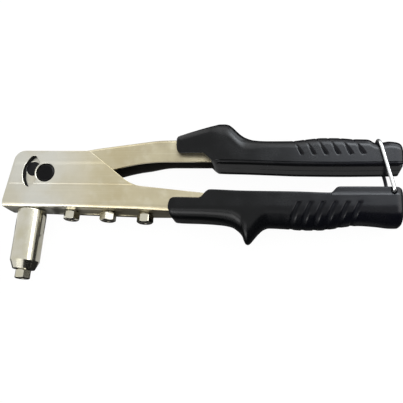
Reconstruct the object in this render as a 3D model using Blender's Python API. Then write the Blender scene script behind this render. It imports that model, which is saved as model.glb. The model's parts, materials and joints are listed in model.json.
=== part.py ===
"""Hand riveter: two steel handles on a fulcrum pin, a puller with jaws in a barrel, and a wire bail.

Sizes are in millimetres and angles in degrees. The tool lies on its side: X runs along it from the head to the
grips, Y rises from the nosepiece to the upper grip, and Z runs across its width. Side-view places are measured
from the point where the barrel axis meets the outer face of the frame's web.
"""

import math

import bmesh
import bpy
from mathutils import Vector

MM = 0.001

# Fits
CLEARANCE = 0.3
PIN_FIT = 0.15
SLOT_PLAY = 0.45

# Across the tool, each width nested in the next
CASE_DIAMETER = 11.2
EAR_SIDE_GAP = 0.4
LEVER_SHEET = 2.0
FRAME_SIDE_GAP = 0.5
FRAME_SHEET = 2.5
GRIP_WALL = 2.3
BAIL_WIRE = 2.4

# Barrel, puller and jaws, along the barrel axis
BARREL_WALL = 2.2
BARREL_LENGTH = 36.2
CONE_LENGTH = 5.6
CONE_STEP = 2.5
END_WALL = 7.3
TOP_WALL = 2.5
NUT_HEIGHT = 2.6
NUT_WALL = 0.75
SPIGOT_LIP = 0.4
CASE_WALL = 1.3
CASE_TOP = 12.0
CASE_MOUTH = 5.2
COLLAR_LENGTH = 3.5
JAW_LENGTH = 10.0
JAW_BORE = 1.6
JAW_SPLIT = 0.5
PUSHER_LENGTH = 5.0
PUSHER_BORE = 3.4
STEM_LENGTH = 6.0
HOOK_THICKNESS = 5.6
HOOK_WALL = 3.2
RETURN_WIRE = 1.4
RETURN_PITCH = 2.6
SPRING_PLAY = 0.5
JAW_WIRE = 0.9
JAW_PITCH = 2.4

# Nosepieces
HEX_FLATS = 10.0
HEX_LENGTH = 6.2
HEX_CHAMFER = 0.9
SHANK_DIAMETER = 7.7
SHANK_LENGTH = 7.0
NOSE_BORE = 3.4
SPARE_FIRST_X = 29.3
SPARE_PITCH = 26.3
SPARE_COUNT = 3

# Fulcrum, lifter and the lever's ears
FULCRUM_X = 11.0
FULCRUM_HEAD = 13.0
FULCRUM_SHANK = 8.0
PIN_EDGE = 0.4
PIN_PROUD = 0.2
LIFTER_RADIUS = 11.3
LIFTER_ANGLE = 159.8
LIFTER_END = 10.0
LIFTER_WAIST = 7.0
OPEN_ANGLE = 60.0
EAR_WALL = 1.3
EAR_FLOOR_GAP = 1.1
EAR_CUT = 2.5
EAR_TOP_GAP = 0.6
WINDOW_MARGIN = 0.3
WINDOW_RING = 1.1
WINDOW_START = 124.0
WINDOW_END = 223.0
WINDOW_CORNER = 2.4

# Frame, seen from the side
HEAD_FRONT = 19.2
FRONT_LEAN = 9.5
HEAD_DROP = 1.0
HEAD_REAR_X = 41.7
SLANT_FOOT = (73.7, 15.2)
NECK_DEPTH = 22.6
NECK_Y = 9.6
NECK_FALL = 10.0
HANDLE_TOP_Y = 6.8
FRAME_END_GAP = 18.6
WEB_SLOPE = 2.0
WEB_LEVEL_X = 78.2
HEAD_CORNER = 8.0
REAR_CORNER = 4.0
TOE_CORNER = 1.4
SLANT_RADIUS = 24.0
FRAME_BEND = 2.5
RIB_HEIGHT = 0.4
RIB_LOW_Y = 15.6
RIB_HIGH_Y = 32.9
RIB_INSET = 0.8
RIB_REAR_INSET = 1.6
RIB_CORNER = 1.0

# Lever, seen from the side
LEVER_WEB_X = 23.2
LEVER_TOP = ((46.0, 43.4), (90.0, 48.8), (130.2, 48.6), (150.2, 44.2))
LEVER_BOTTOM = ((27.2, 18.8), (74.2, 31.3), (90.2, 32.7), (128.2, 32.3))
LEVER_SWEEP = 100.0
LEVER_BEND = 2.0
LEVER_END_GAP = 21.0
LEVER_END_LOW_Y = 31.8
LEVER_END_HEIGHT = 9.3

# Grips: heights of the inner flat face and the rounded outer face along X from the grip's front end, and how far
# the sides draw in
LOWER_GRIP_X = 99.8
UPPER_GRIP_LAG = 3.0
UPPER_FLAT = (
    (0.0, 43.1), (0.6, 40.4), (1.9, 38.3), (4.0, 37.2), (18.9, 36.9), (20.4, 35.9), (25.6, 31.2),
    (27.2, 30.5), (57.4, 29.8), (83.4, 28.1), (117.4, 27.5), (144.4, 27.6), (146.6, 28.2), (147.7, 29.6),
    (148.0, 31.6),
)
UPPER_ROUND = (
    (0.0, 49.8), (0.4, 51.0), (1.6, 51.9), (3.9, 52.8), (11.9, 55.1), (25.4, 58.6), (29.4, 59.5),
    (32.4, 59.5), (35.2, 58.9), (37.4, 57.4), (40.9, 54.0), (43.9, 51.2), (47.4, 49.0), (52.4, 47.3),
    (61.2, 46.45), (77.4, 46.25), (87.4, 47.2), (97.4, 48.0), (107.4, 47.8), (117.4, 46.9), (126.1, 46.5),
    (127.7, 46.0), (130.6, 44.2), (132.8, 43.8), (134.6, 44.0), (137.0, 44.5), (139.4, 44.85), (143.4, 44.4),
    (146.0, 43.7), (147.4, 42.2), (148.0, 39.4),
)
UPPER_TAPER = ((0.0, 3.0), (1.0, 2.1), (3.4, 1.5), (37.4, 0.0), (141.4, 0.0), (145.9, 0.7), (148.0, 2.8))
UPPER_FILLET = 7.0
FILLET_SHARE = 0.45
LOWER_FLAT = (
    (0.0, 1.1), (0.6, 4.0), (1.8, 5.6), (3.8, 6.2), (20.4, 5.9), (21.6, 6.4), (25.6, 10.6),
    (27.4, 11.4), (47.4, 10.5), (85.4, 9.7), (104.6, 9.0), (105.8, 9.5), (109.6, 13.0), (111.0, 13.3),
    (140.4, 13.1), (146.4, 12.9), (148.8, 11.6), (149.8, 8.6),
)
LOWER_ROUND = (
    (0.0, -1.9), (0.8, -4.9), (2.6, -6.8), (6.4, -7.3), (22.4, -7.9), (34.4, -9.0), (40.4, -10.4),
    (45.4, -13.6), (48.4, -17.0), (49.8, -20.6), (51.0, -22.4), (52.3, -22.8), (53.6, -22.1),
    (55.9, -19.3), (58.9, -15.6), (62.2, -12.6), (65.9, -11.3), (76.4, -11.8), (88.4, -12.6),
    (98.4, -12.5), (104.4, -11.8), (116.0, -9.4), (123.4, -8.6), (133.4, -9.4), (143.0, -10.7), (146.4, -10.7),
    (148.8, -9.3), (149.8, -6.0),
)
LOWER_TAPER = ((0.0, 0.9), (2.4, 0.2), (6.4, 0.0), (144.4, 0.0), (148.0, 0.7), (149.8, 2.8))
LOWER_SHOULDER_Y = 0.6
SHOULDER_LEAST = 1.0

# Bail
BAIL_REAR_INSET = 5.8
BAIL_TOP_INSET = 3.2
BAIL_LEAN = 8.2
BAIL_CORNER_ROOM = 1.0
BAIL_FOOT_CORNER = 2.0
BAIL_FOOT = 6.0

# How finely round shapes are drawn
ROUND_SIDES = 24
CORNER_STEPS = 4
ARC_STEPS = 8
EAR_STEPS = 20
COIL_STEPS = 10
GRIP_STEPS = 5
STATION_STEP = 7.0
STATION_LEAST = 0.35
SHARP_ANGLE = 35.0
WALL_FACING = 0.98
WELD = 0.0001


def make_material(name, colour, metallic, roughness):
    material = bpy.data.materials.new(name)
    material.use_nodes = True
    shader = material.node_tree.nodes["Principled BSDF"]
    shader.inputs["Base Color"].default_value = (*colour, 1.0)
    shader.inputs["Metallic"].default_value = metallic
    shader.inputs["Roughness"].default_value = roughness
    material.diffuse_color = (*colour, 1.0)
    return material


def make_empty(name, parent, place=(0.0, 0.0, 0.0), turn=(0.0, 0.0, 0.0)):
    empty = bpy.data.objects.new(name, None)
    empty.location = Vector(place) * MM
    empty.rotation_euler = [math.radians(angle) for angle in turn]
    empty.parent = parent
    bpy.context.collection.objects.link(empty)
    return empty


def make_solid(name, points, faces, material, parent):
    mesh = bpy.data.meshes.new(name)
    mesh.from_pydata([Vector(point) * MM for point in points], [], faces)
    work = bmesh.new()
    work.from_mesh(mesh)
    bmesh.ops.remove_doubles(work, verts=work.verts, dist=WELD * MM)
    bmesh.ops.recalc_face_normals(work, faces=work.faces)
    work.to_mesh(mesh)
    work.free()
    mesh.shade_smooth()
    mesh.set_sharp_from_angle(angle=math.radians(SHARP_ANGLE))
    solid = bpy.data.objects.new(name, mesh)
    if material:
        mesh.materials.append(material)
    solid.parent = parent
    bpy.context.collection.objects.link(solid)
    return solid


def combine(solid, other, operation):
    """Joins a guide solid to another, or cuts it out."""
    other.hide_render = True
    other.display_type = "WIRE"
    modifier = solid.modifiers.new(other.name, "BOOLEAN")
    modifier.object = other
    modifier.operation = operation
    modifier.solver = "EXACT"


def prism(name, outline, z_low, z_high, material, parent, origin=(0.0, 0.0)):
    """An outline in X and Y, drawn straight across the width."""
    flat = [(x - origin[0], y - origin[1]) for x, y in outline]
    count = len(flat)
    points = [(x, y, z) for z in (z_low, z_high) for x, y in flat]
    sides = [(i, (i + 1) % count, count + (i + 1) % count, count + i) for i in range(count)]
    ends = [tuple(range(count)), tuple(range(count, 2 * count))]
    return make_solid(name, points, [*ends, *sides], material, parent)


def turned(name, profile, material, parent, arc=360.0, start=0.0, shift=0.0):
    """A closed profile of (radius, height) turned about local Z; a radius may be a function of the angle."""
    full = arc == 360.0
    steps = ROUND_SIDES if full else ROUND_SIDES // 2
    columns = steps if full else steps + 1
    points = []
    for column in range(columns):
        angle = math.radians(start + arc * column / steps)
        for radius, height in profile:
            reach = radius(angle) if callable(radius) else radius
            points.append((reach * math.cos(angle) + shift, reach * math.sin(angle), height))
    rows = len(profile)
    faces = []
    for column in range(steps):
        here = column * rows
        after = (column + 1) % columns * rows
        for row in range(rows):
            below = (row + 1) % rows
            faces.append((here + row, here + below, after + below, after + row))
    if not full:
        faces.append(tuple(range(rows)))
        faces.append(tuple(range((columns - 1) * rows, columns * rows)))
    return make_solid(name, points, faces, material, parent)


def plug(name, radius, low, high, parent, place=(0.0, 0.0)):
    """A plain round guide along local Z."""
    ring = [math.tau * i / ROUND_SIDES for i in range(ROUND_SIDES)]
    outline = [(place[0] + radius * math.cos(a), place[1] + radius * math.sin(a)) for a in ring]
    return prism(name, outline, low, high, None, parent)


def wire(name, route, diameter, sides, material, parent):
    """A round wire along a route of points in millimetres."""
    path = bpy.data.curves.new(name, "CURVE")
    path.dimensions = "3D"
    path.bevel_depth = diameter / 2 * MM
    path.bevel_resolution = sides
    path.use_fill_caps = True
    spline = path.splines.new("POLY")
    spline.points.add(len(route) - 1)
    for point, (x, y, z) in zip(spline.points, route):
        point.co = (x * MM, y * MM, z * MM, 1.0)
    path.materials.append(material)
    solid = bpy.data.objects.new(name, path)
    solid.parent = parent
    bpy.context.collection.objects.link(solid)


def coil(name, radius, diameter, pitch, low, high, material, parent):
    """A spring of whole turns about local Z that fills the space between two heights."""
    rise = high - low - diameter
    turns = max(1, round(rise / pitch))
    steps = turns * COIL_STEPS
    route = []
    for i in range(steps + 1):
        angle = math.tau * i / COIL_STEPS
        height = low + diameter / 2 + rise * i / steps
        route.append((radius * math.cos(angle), radius * math.sin(angle), height))
    wire(name, route, diameter, 1, material, parent)
    nearest = min(math.dist(a, b) for a, b in zip(route, route[COIL_STEPS:]))
    print(f"{name}: {turns} turns, least gap {nearest - diameter:.2f} mm")


def hexagon(flats, limit):
    """Radius of a hexagon at an angle, cut back to a turned limit at its corners."""
    def reach(angle):
        from_flat = (angle + math.pi / 6) % (math.pi / 3) - math.pi / 6
        return min(flats / 2 / math.cos(from_flat), limit)
    return reach


def rounded(corners):
    """An outline whose corners (x, y, radius) are turned into arcs."""
    outline = []
    count = len(corners)
    for i, (x, y, radius) in enumerate(corners):
        if radius == 0:
            outline.append((x, y))
            continue
        here = Vector((x, y))
        before = (Vector(corners[i - 1][:2]) - here).normalized()
        after = (Vector(corners[(i + 1) % count][:2]) - here).normalized()
        half = before.angle(after) / 2
        centre = here + (before + after).normalized() * (radius / math.sin(half))
        reach = radius / math.tan(half)
        first = here + before * reach - centre
        last = here + after * reach - centre
        sweep = first.angle_signed(last)
        for step in range(CORNER_STEPS + 1):
            turn = -sweep * step / CORNER_STEPS
            outline.append((
                centre.x + first.x * math.cos(turn) - first.y * math.sin(turn),
                centre.y + first.x * math.sin(turn) + first.y * math.cos(turn),
            ))
    return outline


def smooth_line(knots):
    """A height along X that passes through the knots without overshooting them."""
    xs = [x for x, _ in knots]
    ys = [y for _, y in knots]
    slopes = [(ys[i + 1] - ys[i]) / (xs[i + 1] - xs[i]) for i in range(len(xs) - 1)]
    tangents = [slopes[0]]
    for left, right in zip(slopes, slopes[1:]):
        tangents.append(0.0 if left * right <= 0 else 2 * left * right / (left + right))
    tangents.append(slopes[-1])

    def height(x):
        i = max(0, min(len(xs) - 2, sum(1 for knot in xs if knot <= x) - 1))
        width = xs[i + 1] - xs[i]
        t = max(0.0, min(1.0, (x - xs[i]) / width))
        bend = (1 + 2 * t) * ys[i] * (1 - t) ** 2 + t ** 2 * (3 - 2 * t) * ys[i + 1]
        return bend + width * (t * (1 - t) ** 2 * tangents[i] - t ** 2 * (1 - t) * tangents[i + 1])
    return height


def web_y(x):
    """Outer face of the frame's web, which slopes under the head and is level under the grip."""
    return -math.tan(math.radians(WEB_SLOPE)) * min(x, WEB_LEVEL_X)


def around_fulcrum(radius, degrees):
    angle = math.radians(degrees)
    return FULCRUM[0] + radius * math.cos(angle), FULCRUM[1] + radius * math.sin(angle)


def lifter_at(opening):
    return around_fulcrum(LIFTER_RADIUS, LIFTER_ANGLE + opening)


def along_barrel(x, y):
    """A side-view point as (across, up) on the barrel axis."""
    tilt = math.radians(WEB_SLOPE)
    return x * math.cos(tilt) - y * math.sin(tilt), x * math.sin(tilt) + y * math.cos(tilt)


# Widths that nest in one another
LEVER_GAP = CASE_DIAMETER + 2 * EAR_SIDE_GAP
LEVER_WIDTH = LEVER_GAP + 2 * LEVER_SHEET
FRAME_GAP = LEVER_WIDTH + 2 * FRAME_SIDE_GAP
FRAME_WIDTH = FRAME_GAP + 2 * FRAME_SHEET
GRIP_WIDTH = FRAME_WIDTH + 2 * GRIP_WALL
BAIL_LEG_Z = GRIP_WIDTH / 2 + CLEARANCE + BAIL_WIRE / 2

# Diameters about the barrel axis
CASE_BORE = CASE_DIAMETER - 2 * CASE_WALL
BARREL_BORE = CASE_DIAMETER + 2 * (CLEARANCE + RETURN_WIRE + SPRING_PLAY)
BARREL_DIAMETER = BARREL_BORE + 2 * BARREL_WALL
SPIGOT_BORE = CASE_DIAMETER + 2 * CLEARANCE
NUT_DIAMETER = FRAME_GAP - 2 * CLEARANCE
SPIGOT_DIAMETER = NUT_DIAMETER - 2 * (NUT_WALL + PIN_FIT)

# Heights above the web and places along the tool
NUT_LOW = FRAME_SHEET + CLEARANCE
SPIGOT_TOP = NUT_LOW + NUT_HEIGHT + SPIGOT_LIP
EAR_RADIUS = LIFTER_RADIUS + LIFTER_END / 2 + EAR_WALL
FULCRUM = (FULCRUM_X, SPIGOT_TOP + EAR_FLOOR_GAP + EAR_RADIUS)
EAR_TOP_Y = FULCRUM[1] + EAR_RADIUS - EAR_CUT
HEAD_REAR_Y = EAR_TOP_Y + EAR_TOP_GAP
HEAD_TOP_Y = HEAD_REAR_Y + HEAD_DROP
UPPER_GRIP_X = LOWER_GRIP_X + UPPER_GRIP_LAG
HANDLE_NECK = (LOWER_GRIP_X + NECK_DEPTH, NECK_Y)
BAIL_DEPTH = LOWER_ROUND[-1][0] - BAIL_REAR_INSET
BAIL_PIVOT_X = LOWER_GRIP_X + BAIL_DEPTH
BAIL_PIVOT = (BAIL_PIVOT_X, smooth_line(LOWER_FLAT)(BAIL_DEPTH) - BAIL_TOP_INSET)
FRAME_END_X = BAIL_PIVOT_X - FRAME_END_GAP
LEVER_END_X = UPPER_GRIP_X + UPPER_ROUND[-1][0] - LEVER_END_GAP

# Travel of the puller, and where it leaves the jaw case at rest
BARREL_END = BARREL_LENGTH + CONE_LENGTH
LIFTER_HEIGHT = along_barrel(*lifter_at(0))[1]
PULL_STROKE = LIFTER_HEIGHT - along_barrel(*lifter_at(OPEN_ANGLE))[1] + PIN_FIT
CASE_FRONT = -(BARREL_END - END_WALL - CLEARANCE - PULL_STROKE)
CONE_START = CASE_FRONT + JAW_LENGTH + CLEARANCE
COLLAR_TOP = CASE_FRONT + COLLAR_LENGTH
STEM_LOW = CASE_TOP - STEM_LENGTH

BARREL_TURN = (-90.0, 0.0, -WEB_SLOPE)
OUTSIDE = 2 * FRAME_WIDTH


def front_x(y):
    """Front edge of the head, which leans back as it rises."""
    return -HEAD_FRONT + math.tan(math.radians(FRONT_LEAN)) * (y - web_y(-HEAD_FRONT))


def slant_x(y):
    """Rear edge of the head, where it slants down to the handle."""
    share = (HEAD_REAR_Y - y) / (HEAD_REAR_Y - SLANT_FOOT[1])
    return HEAD_REAR_X + share * (SLANT_FOOT[0] - HEAD_REAR_X)


def handle_top():
    """Top edge of the frame's cheeks from the foot of the slant into the lower grip."""
    return [
        SLANT_FOOT,
        HANDLE_NECK,
        (HANDLE_NECK[0] + NECK_FALL, HANDLE_TOP_Y),
        (FRAME_END_X, HANDLE_TOP_Y),
    ]


def round_sheet_edges(solid, facing, from_x, radius):
    """Rounds the two long edges of a prism's top or bottom wall, as a press brake would."""
    work = bmesh.new()
    work.from_mesh(solid.data)
    work.normal_update()

    def along_wall(edge):
        walls = [face for face in edge.link_faces if face.normal.y * facing > WALL_FACING]
        caps = [face for face in edge.link_faces if abs(face.normal.z) > WALL_FACING]
        return walls and caps and min(vertex.co.x for vertex in edge.verts) > (from_x - WELD) * MM
    edges = [edge for edge in work.edges if along_wall(edge)]
    bmesh.ops.bevel(work, geom=edges, offset=radius * MM, segments=3, profile=0.5, affect="EDGES")
    work.to_mesh(solid.data)
    work.free()


def window_outline():
    """A kidney-shaped window around the fulcrum, through which the lifter pin shows."""
    outer = LIFTER_RADIUS + LIFTER_END / 2 + WINDOW_MARGIN
    inner = FULCRUM_HEAD / 2 + CLEARANCE + WINDOW_RING
    arc = [WINDOW_START + (WINDOW_END - WINDOW_START) * i / ARC_STEPS for i in range(ARC_STEPS + 1)]
    rim = []
    for degrees in arc:
        corner = WINDOW_CORNER if degrees in (arc[0], arc[-1]) else 0
        rim.append((*around_fulcrum(outer, degrees), corner))
    rim += [(*around_fulcrum(inner, degrees), 0) for degrees in reversed(arc)]
    return rounded(rim)


def spare_place(index):
    x = SPARE_FIRST_X + SPARE_PITCH * index
    slope = WEB_SLOPE if x < WEB_LEVEL_X else 0.0
    return (x, web_y(x), 0.0), (-90.0, 0.0, -slope)


def make_frame(steel, root):
    """A folded sheet: two cheeks on a web that carries the barrel and the spare nosepieces."""
    toe = -HEAD_FRONT
    outline = rounded([
        (front_x(HEAD_TOP_Y), HEAD_TOP_Y, HEAD_CORNER),
        (HEAD_REAR_X, HEAD_REAR_Y, REAR_CORNER),
        (*SLANT_FOOT, SLANT_RADIUS),
        *[(x, y, 0) for x, y in handle_top()[1:]],
        (FRAME_END_X, web_y(FRAME_END_X), 0),
        (WEB_LEVEL_X, web_y(WEB_LEVEL_X), 0),
        (toe, web_y(toe), TOE_CORNER),
    ])
    frame = prism("frame", outline, -FRAME_WIDTH / 2, FRAME_WIDTH / 2, steel, root)
    round_sheet_edges(frame, -1, toe, FRAME_BEND)

    rib = rounded([
        (front_x(RIB_LOW_Y) + RIB_INSET, RIB_LOW_Y, RIB_CORNER),
        (slant_x(RIB_LOW_Y) - RIB_REAR_INSET, RIB_LOW_Y, RIB_CORNER),
        (slant_x(RIB_HIGH_Y) - RIB_REAR_INSET, RIB_HIGH_Y, RIB_CORNER),
        (front_x(RIB_HIGH_Y) + RIB_INSET, RIB_HIGH_Y, RIB_CORNER),
    ])
    root_z = FRAME_GAP / 2 + FRAME_SHEET / 2
    face_z = FRAME_WIDTH / 2 + RIB_HEIGHT
    combine(frame, prism("rib_far", rib, -face_z, -root_z, None, root), "UNION")
    combine(frame, prism("rib_near", rib, root_z, face_z, None, root), "UNION")

    floor = [(x, web_y(x) + FRAME_SHEET) for x in (toe - OUTSIDE, WEB_LEVEL_X, FRAME_END_X + OUTSIDE)]
    roof = [(FRAME_END_X + OUTSIDE, HEAD_TOP_Y + OUTSIDE), (toe - OUTSIDE, HEAD_TOP_Y + OUTSIDE)]
    channel = prism("frame_channel", [*floor, *roof], -FRAME_GAP / 2, FRAME_GAP / 2, None, root)
    combine(frame, channel, "DIFFERENCE")
    combine(frame, prism("head_window", window_outline(), -OUTSIDE, OUTSIDE, None, root), "DIFFERENCE")
    pin_hole = plug("fulcrum_hole", FULCRUM_HEAD / 2 + CLEARANCE, -OUTSIDE, OUTSIDE, root, FULCRUM)
    combine(frame, pin_hole, "DIFFERENCE")
    axis = make_empty("barrel_hole_axis", root, turn=BARREL_TURN)
    barrel_hole = plug("barrel_hole", SPIGOT_DIAMETER / 2 + CLEARANCE, -FRAME_SHEET, 2 * FRAME_SHEET, axis)
    combine(frame, barrel_hole, "DIFFERENCE")
    for i in range(SPARE_COUNT):
        axis = make_empty(f"spare_hole_axis_{i + 1}", root, *spare_place(i))
        hole = plug(f"spare_hole_{i + 1}", SHANK_DIAMETER / 2 + CLEARANCE, -FRAME_SHEET, 2 * FRAME_SHEET, axis)
        combine(frame, hole, "DIFFERENCE")


def lever_outline(margin=0.0):
    """Side view of the lever from its ears to its end in the grip, grown by a margin."""
    first = 180 - math.degrees(math.asin((EAR_TOP_Y - FULCRUM[1]) / EAR_RADIUS))
    throat = LEVER_BOTTOM[0]
    last = 360 + math.degrees(math.atan2(throat[1] - FULCRUM[1], throat[0] - FULCRUM[0]))
    ears = []
    for i in range(EAR_STEPS + 1):
        ears.append((*around_fulcrum(EAR_RADIUS, first + (last - first) * i / EAR_STEPS), 0))
    sweeps = [LEVER_SWEEP, LEVER_SWEEP, 0, 0]
    bottom = [(x, y - margin, sweep) for (x, y), sweep in zip(LEVER_BOTTOM[1:], sweeps)]
    top = [(x, y + margin, sweep) for (x, y), sweep in zip(LEVER_TOP, sweeps)]
    end_x = LEVER_END_X + margin
    return rounded([
        *ears,
        *bottom,
        (end_x, LEVER_END_LOW_Y - margin, 0),
        (end_x, LEVER_END_LOW_Y + LEVER_END_HEIGHT + margin, 0),
        *reversed(top),
        (LEVER_WEB_X, EAR_TOP_Y + margin, 0),
    ])


def make_lever(steel, pivot, root):
    """A folded sheet, open below, whose two ears turn on the fulcrum between the frame's cheeks."""
    lever = prism("lever", lever_outline(), -LEVER_WIDTH / 2, LEVER_WIDTH / 2, steel, pivot, FULCRUM)
    round_sheet_edges(lever, 1, LEVER_WEB_X - FULCRUM[0], LEVER_BEND)
    roof = [(LEVER_WEB_X, EAR_TOP_Y), *LEVER_TOP, (LEVER_END_X, LEVER_END_LOW_Y + LEVER_END_HEIGHT)]
    under = [(x, y - LEVER_SHEET) for x, y in roof]
    beyond = LEVER_END_X + OUTSIDE
    channel = [
        (FULCRUM[0] - OUTSIDE, FULCRUM[1] - OUTSIDE),
        (beyond, FULCRUM[1] - OUTSIDE),
        (beyond, under[-1][1]),
        *reversed(under),
        (LEVER_WEB_X, HEAD_TOP_Y + OUTSIDE),
        (FULCRUM[0] - OUTSIDE, HEAD_TOP_Y + OUTSIDE),
    ]
    combine(lever, prism("lever_channel", channel, -LEVER_GAP / 2, LEVER_GAP / 2, None, root), "DIFFERENCE")
    ear_hole = plug("ear_hole", FULCRUM_SHANK / 2 + PIN_FIT, -OUTSIDE, OUTSIDE, root, FULCRUM)
    combine(lever, ear_hole, "DIFFERENCE")
    lifter_hole = plug("lifter_hole", LIFTER_END / 2 + PIN_FIT, -OUTSIDE, OUTSIDE, root, lifter_at(0))
    combine(lever, lifter_hole, "DIFFERENCE")


def make_pins(oxide, root, pivot):
    """The fulcrum pin with its nut, and the waisted lifter pin across the lever's ears."""
    face = FRAME_WIDTH / 2 + PIN_PROUD
    inner = FRAME_GAP / 2 + PIN_FIT
    head = FULCRUM_HEAD / 2
    shank = FULCRUM_SHANK / 2
    axis = make_empty("fulcrum_axis", root, (*FULCRUM, 0.0))
    turned("fulcrum_pin", [
        (0.0, face), (head - PIN_EDGE, face), (head, face - PIN_EDGE), (head, inner), (shank, inner),
        (shank, -face + PIN_EDGE), (0.0, -face + PIN_EDGE),
    ], oxide, axis)
    bore = shank + PIN_FIT
    turned("fulcrum_nut", [
        (bore, -inner), (bore, -face), (head - PIN_EDGE, -face), (head, -face + PIN_EDGE), (head, -inner),
    ], oxide, axis)

    place = lifter_at(0)
    axis = make_empty("lifter_axis", pivot, (place[0] - FULCRUM[0], place[1] - FULCRUM[1], 0.0))
    end = LEVER_WIDTH / 2 + PIN_FIT
    shoulder = LEVER_GAP / 2 - CLEARANCE
    wide = LIFTER_END / 2
    waist = LIFTER_WAIST / 2
    turned("lifter_pin", [
        (0.0, end), (0.0, -end), (wide - PIN_EDGE, -end), (wide, -end + PIN_EDGE), (wide, -shoulder),
        (waist, -shoulder), (waist, shoulder), (wide, shoulder), (wide, end - PIN_EDGE), (wide - PIN_EDGE, end),
    ], oxide, axis)


def make_barrel(chrome, axis):
    """A tube under the web, held by its threaded spigot and a ring nut inside the frame."""
    bore = BARREL_BORE / 2
    outer = BARREL_DIAMETER / 2
    spigot = SPIGOT_DIAMETER / 2
    nose = SHANK_DIAMETER / 2 + CLEARANCE
    floor = END_WALL - BARREL_END
    turned("barrel", [
        (SPIGOT_BORE / 2, SPIGOT_TOP), (SPIGOT_BORE / 2, -TOP_WALL), (bore, -TOP_WALL), (bore, floor),
        (nose, floor), (nose, -BARREL_END), (outer - CONE_STEP, -BARREL_END), (outer, -BARREL_LENGTH),
        (outer, -CLEARANCE), (spigot, -CLEARANCE), (spigot, SPIGOT_TOP),
    ], chrome, axis)
    thread = spigot + PIN_FIT
    turned("barrel_ring_nut", [
        (thread, NUT_LOW + NUT_HEIGHT), (thread, NUT_LOW), (NUT_DIAMETER / 2, NUT_LOW),
        (NUT_DIAMETER / 2, NUT_LOW + NUT_HEIGHT),
    ], chrome, axis)


def make_nosepiece(name, chrome, axis, seat):
    """A hexagon under its seat, with a bored shank that reaches up through it."""
    top = seat - CLEARANCE
    low = top - HEX_LENGTH
    corner = HEX_FLATS / math.sqrt(3)
    full = hexagon(HEX_FLATS, corner)
    cut = hexagon(HEX_FLATS, corner - HEX_CHAMFER)
    turned(name, [
        (NOSE_BORE / 2, seat + SHANK_LENGTH), (NOSE_BORE / 2, low), (HEX_FLATS / 2 - HEX_CHAMFER, low),
        (cut, low + HEX_CHAMFER), (full, low + 2 * HEX_CHAMFER), (full, top - HEX_CHAMFER), (cut, top),
        (SHANK_DIAMETER / 2, top), (SHANK_DIAMETER / 2, seat + SHANK_LENGTH),
    ], chrome, axis)


def make_puller(steel, slide):
    """The jaw case in the barrel, and the hook above it, whose neck follows the case into the spigot."""
    outer = CASE_DIAMETER / 2
    collar = BARREL_BORE / 2 - CLEARANCE
    turned("jaw_case", [
        (CASE_BORE / 2, CASE_TOP), (CASE_BORE / 2, CONE_START), (CASE_MOUTH / 2, CASE_FRONT),
        (collar, CASE_FRONT), (collar, COLLAR_TOP), (outer, COLLAR_TOP), (outer, CASE_TOP),
    ], steel, slide)

    half = LIFTER_WAIST / 2 + SLOT_PLAY
    openings = [OPEN_ANGLE * i / ARC_STEPS for i in range(ARC_STEPS + 1)]
    furthest = min(along_barrel(*lifter_at(opening))[0] for opening in openings)
    back = furthest - LIFTER_WAIST / 2 - CLEARANCE
    mouth = along_barrel(*FULCRUM)[0] - FULCRUM_SHANK / 2 - 2 * CLEARANCE
    base = CASE_TOP + CLEARANCE
    neck = math.sqrt((SPIGOT_BORE / 2 - CLEARANCE) ** 2 - (HOOK_THICKNESS / 2) ** 2)
    neck_top = SPIGOT_TOP + PULL_STROKE + CLEARANCE
    slot_top = LIFTER_HEIGHT + half
    slot_low = LIFTER_HEIGHT - half
    hook = rounded([
        (mouth, slot_top, 0),
        (mouth, slot_top + HOOK_WALL, HOOK_WALL / 2),
        (back - HOOK_WALL, slot_top + HOOK_WALL, HOOK_WALL),
        (back - HOOK_WALL, slot_low - HOOK_WALL, HOOK_WALL),
        (-neck, neck_top, 0),
        (-neck, base, 0),
        (neck, base, 0),
        (neck, neck_top, 0),
        (mouth, slot_low - HOOK_WALL, 0),
        (mouth, slot_low, 0),
        (back, slot_low, LIFTER_WAIST / 2),
        (back, slot_top, LIFTER_WAIST / 2),
    ])
    plane = make_empty("hook_plane", slide, turn=(90.0, 0.0, 0.0))
    puller = prism("puller_hook", hook, -HOOK_THICKNESS / 2, HOOK_THICKNESS / 2, steel, plane)
    stem = plug("puller_stem", CASE_BORE / 2 - PIN_FIT, STEM_LOW, base + HOOK_WALL, slide)
    combine(puller, stem, "UNION")


def make_jaws(steel, spring_steel, axis, slide, jaw_slide):
    """Two half-cone jaws, the pusher behind them, the spring that holds them forward and the return spring."""
    slope = (CASE_BORE - CASE_MOUTH) / 2 / (CONE_START - CASE_FRONT)

    def cone(height):
        return CASE_MOUTH / 2 + slope * (height - CASE_FRONT) - CLEARANCE
    low = CASE_FRONT + CLEARANCE
    high = CASE_FRONT + JAW_LENGTH
    profile = [(JAW_BORE / 2, high), (JAW_BORE / 2, low), (cone(low), low), (cone(high), high)]
    turned("jaw_front", profile, steel, jaw_slide, 180.0, -90.0, JAW_SPLIT / 2)
    turned("jaw_rear", profile, steel, jaw_slide, 180.0, 90.0, -JAW_SPLIT / 2)
    foot = high + CLEARANCE
    top = foot + PUSHER_LENGTH
    wide = CASE_BORE / 2 - CLEARANCE
    turned("jaw_pusher", [
        (PUSHER_BORE / 2, top), (PUSHER_BORE / 2, foot), (wide, foot), (wide, top),
    ], steel, jaw_slide)
    coil("jaw_spring", wide - JAW_WIRE / 2, JAW_WIRE, JAW_PITCH, top + CLEARANCE, STEM_LOW - CLEARANCE,
         spring_steel, slide)
    coil("return_spring", CASE_DIAMETER / 2 + CLEARANCE + RETURN_WIRE / 2, RETURN_WIRE, RETURN_PITCH,
         COLLAR_TOP + CLEARANCE, -TOP_WALL - CLEARANCE, spring_steel, axis)


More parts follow.
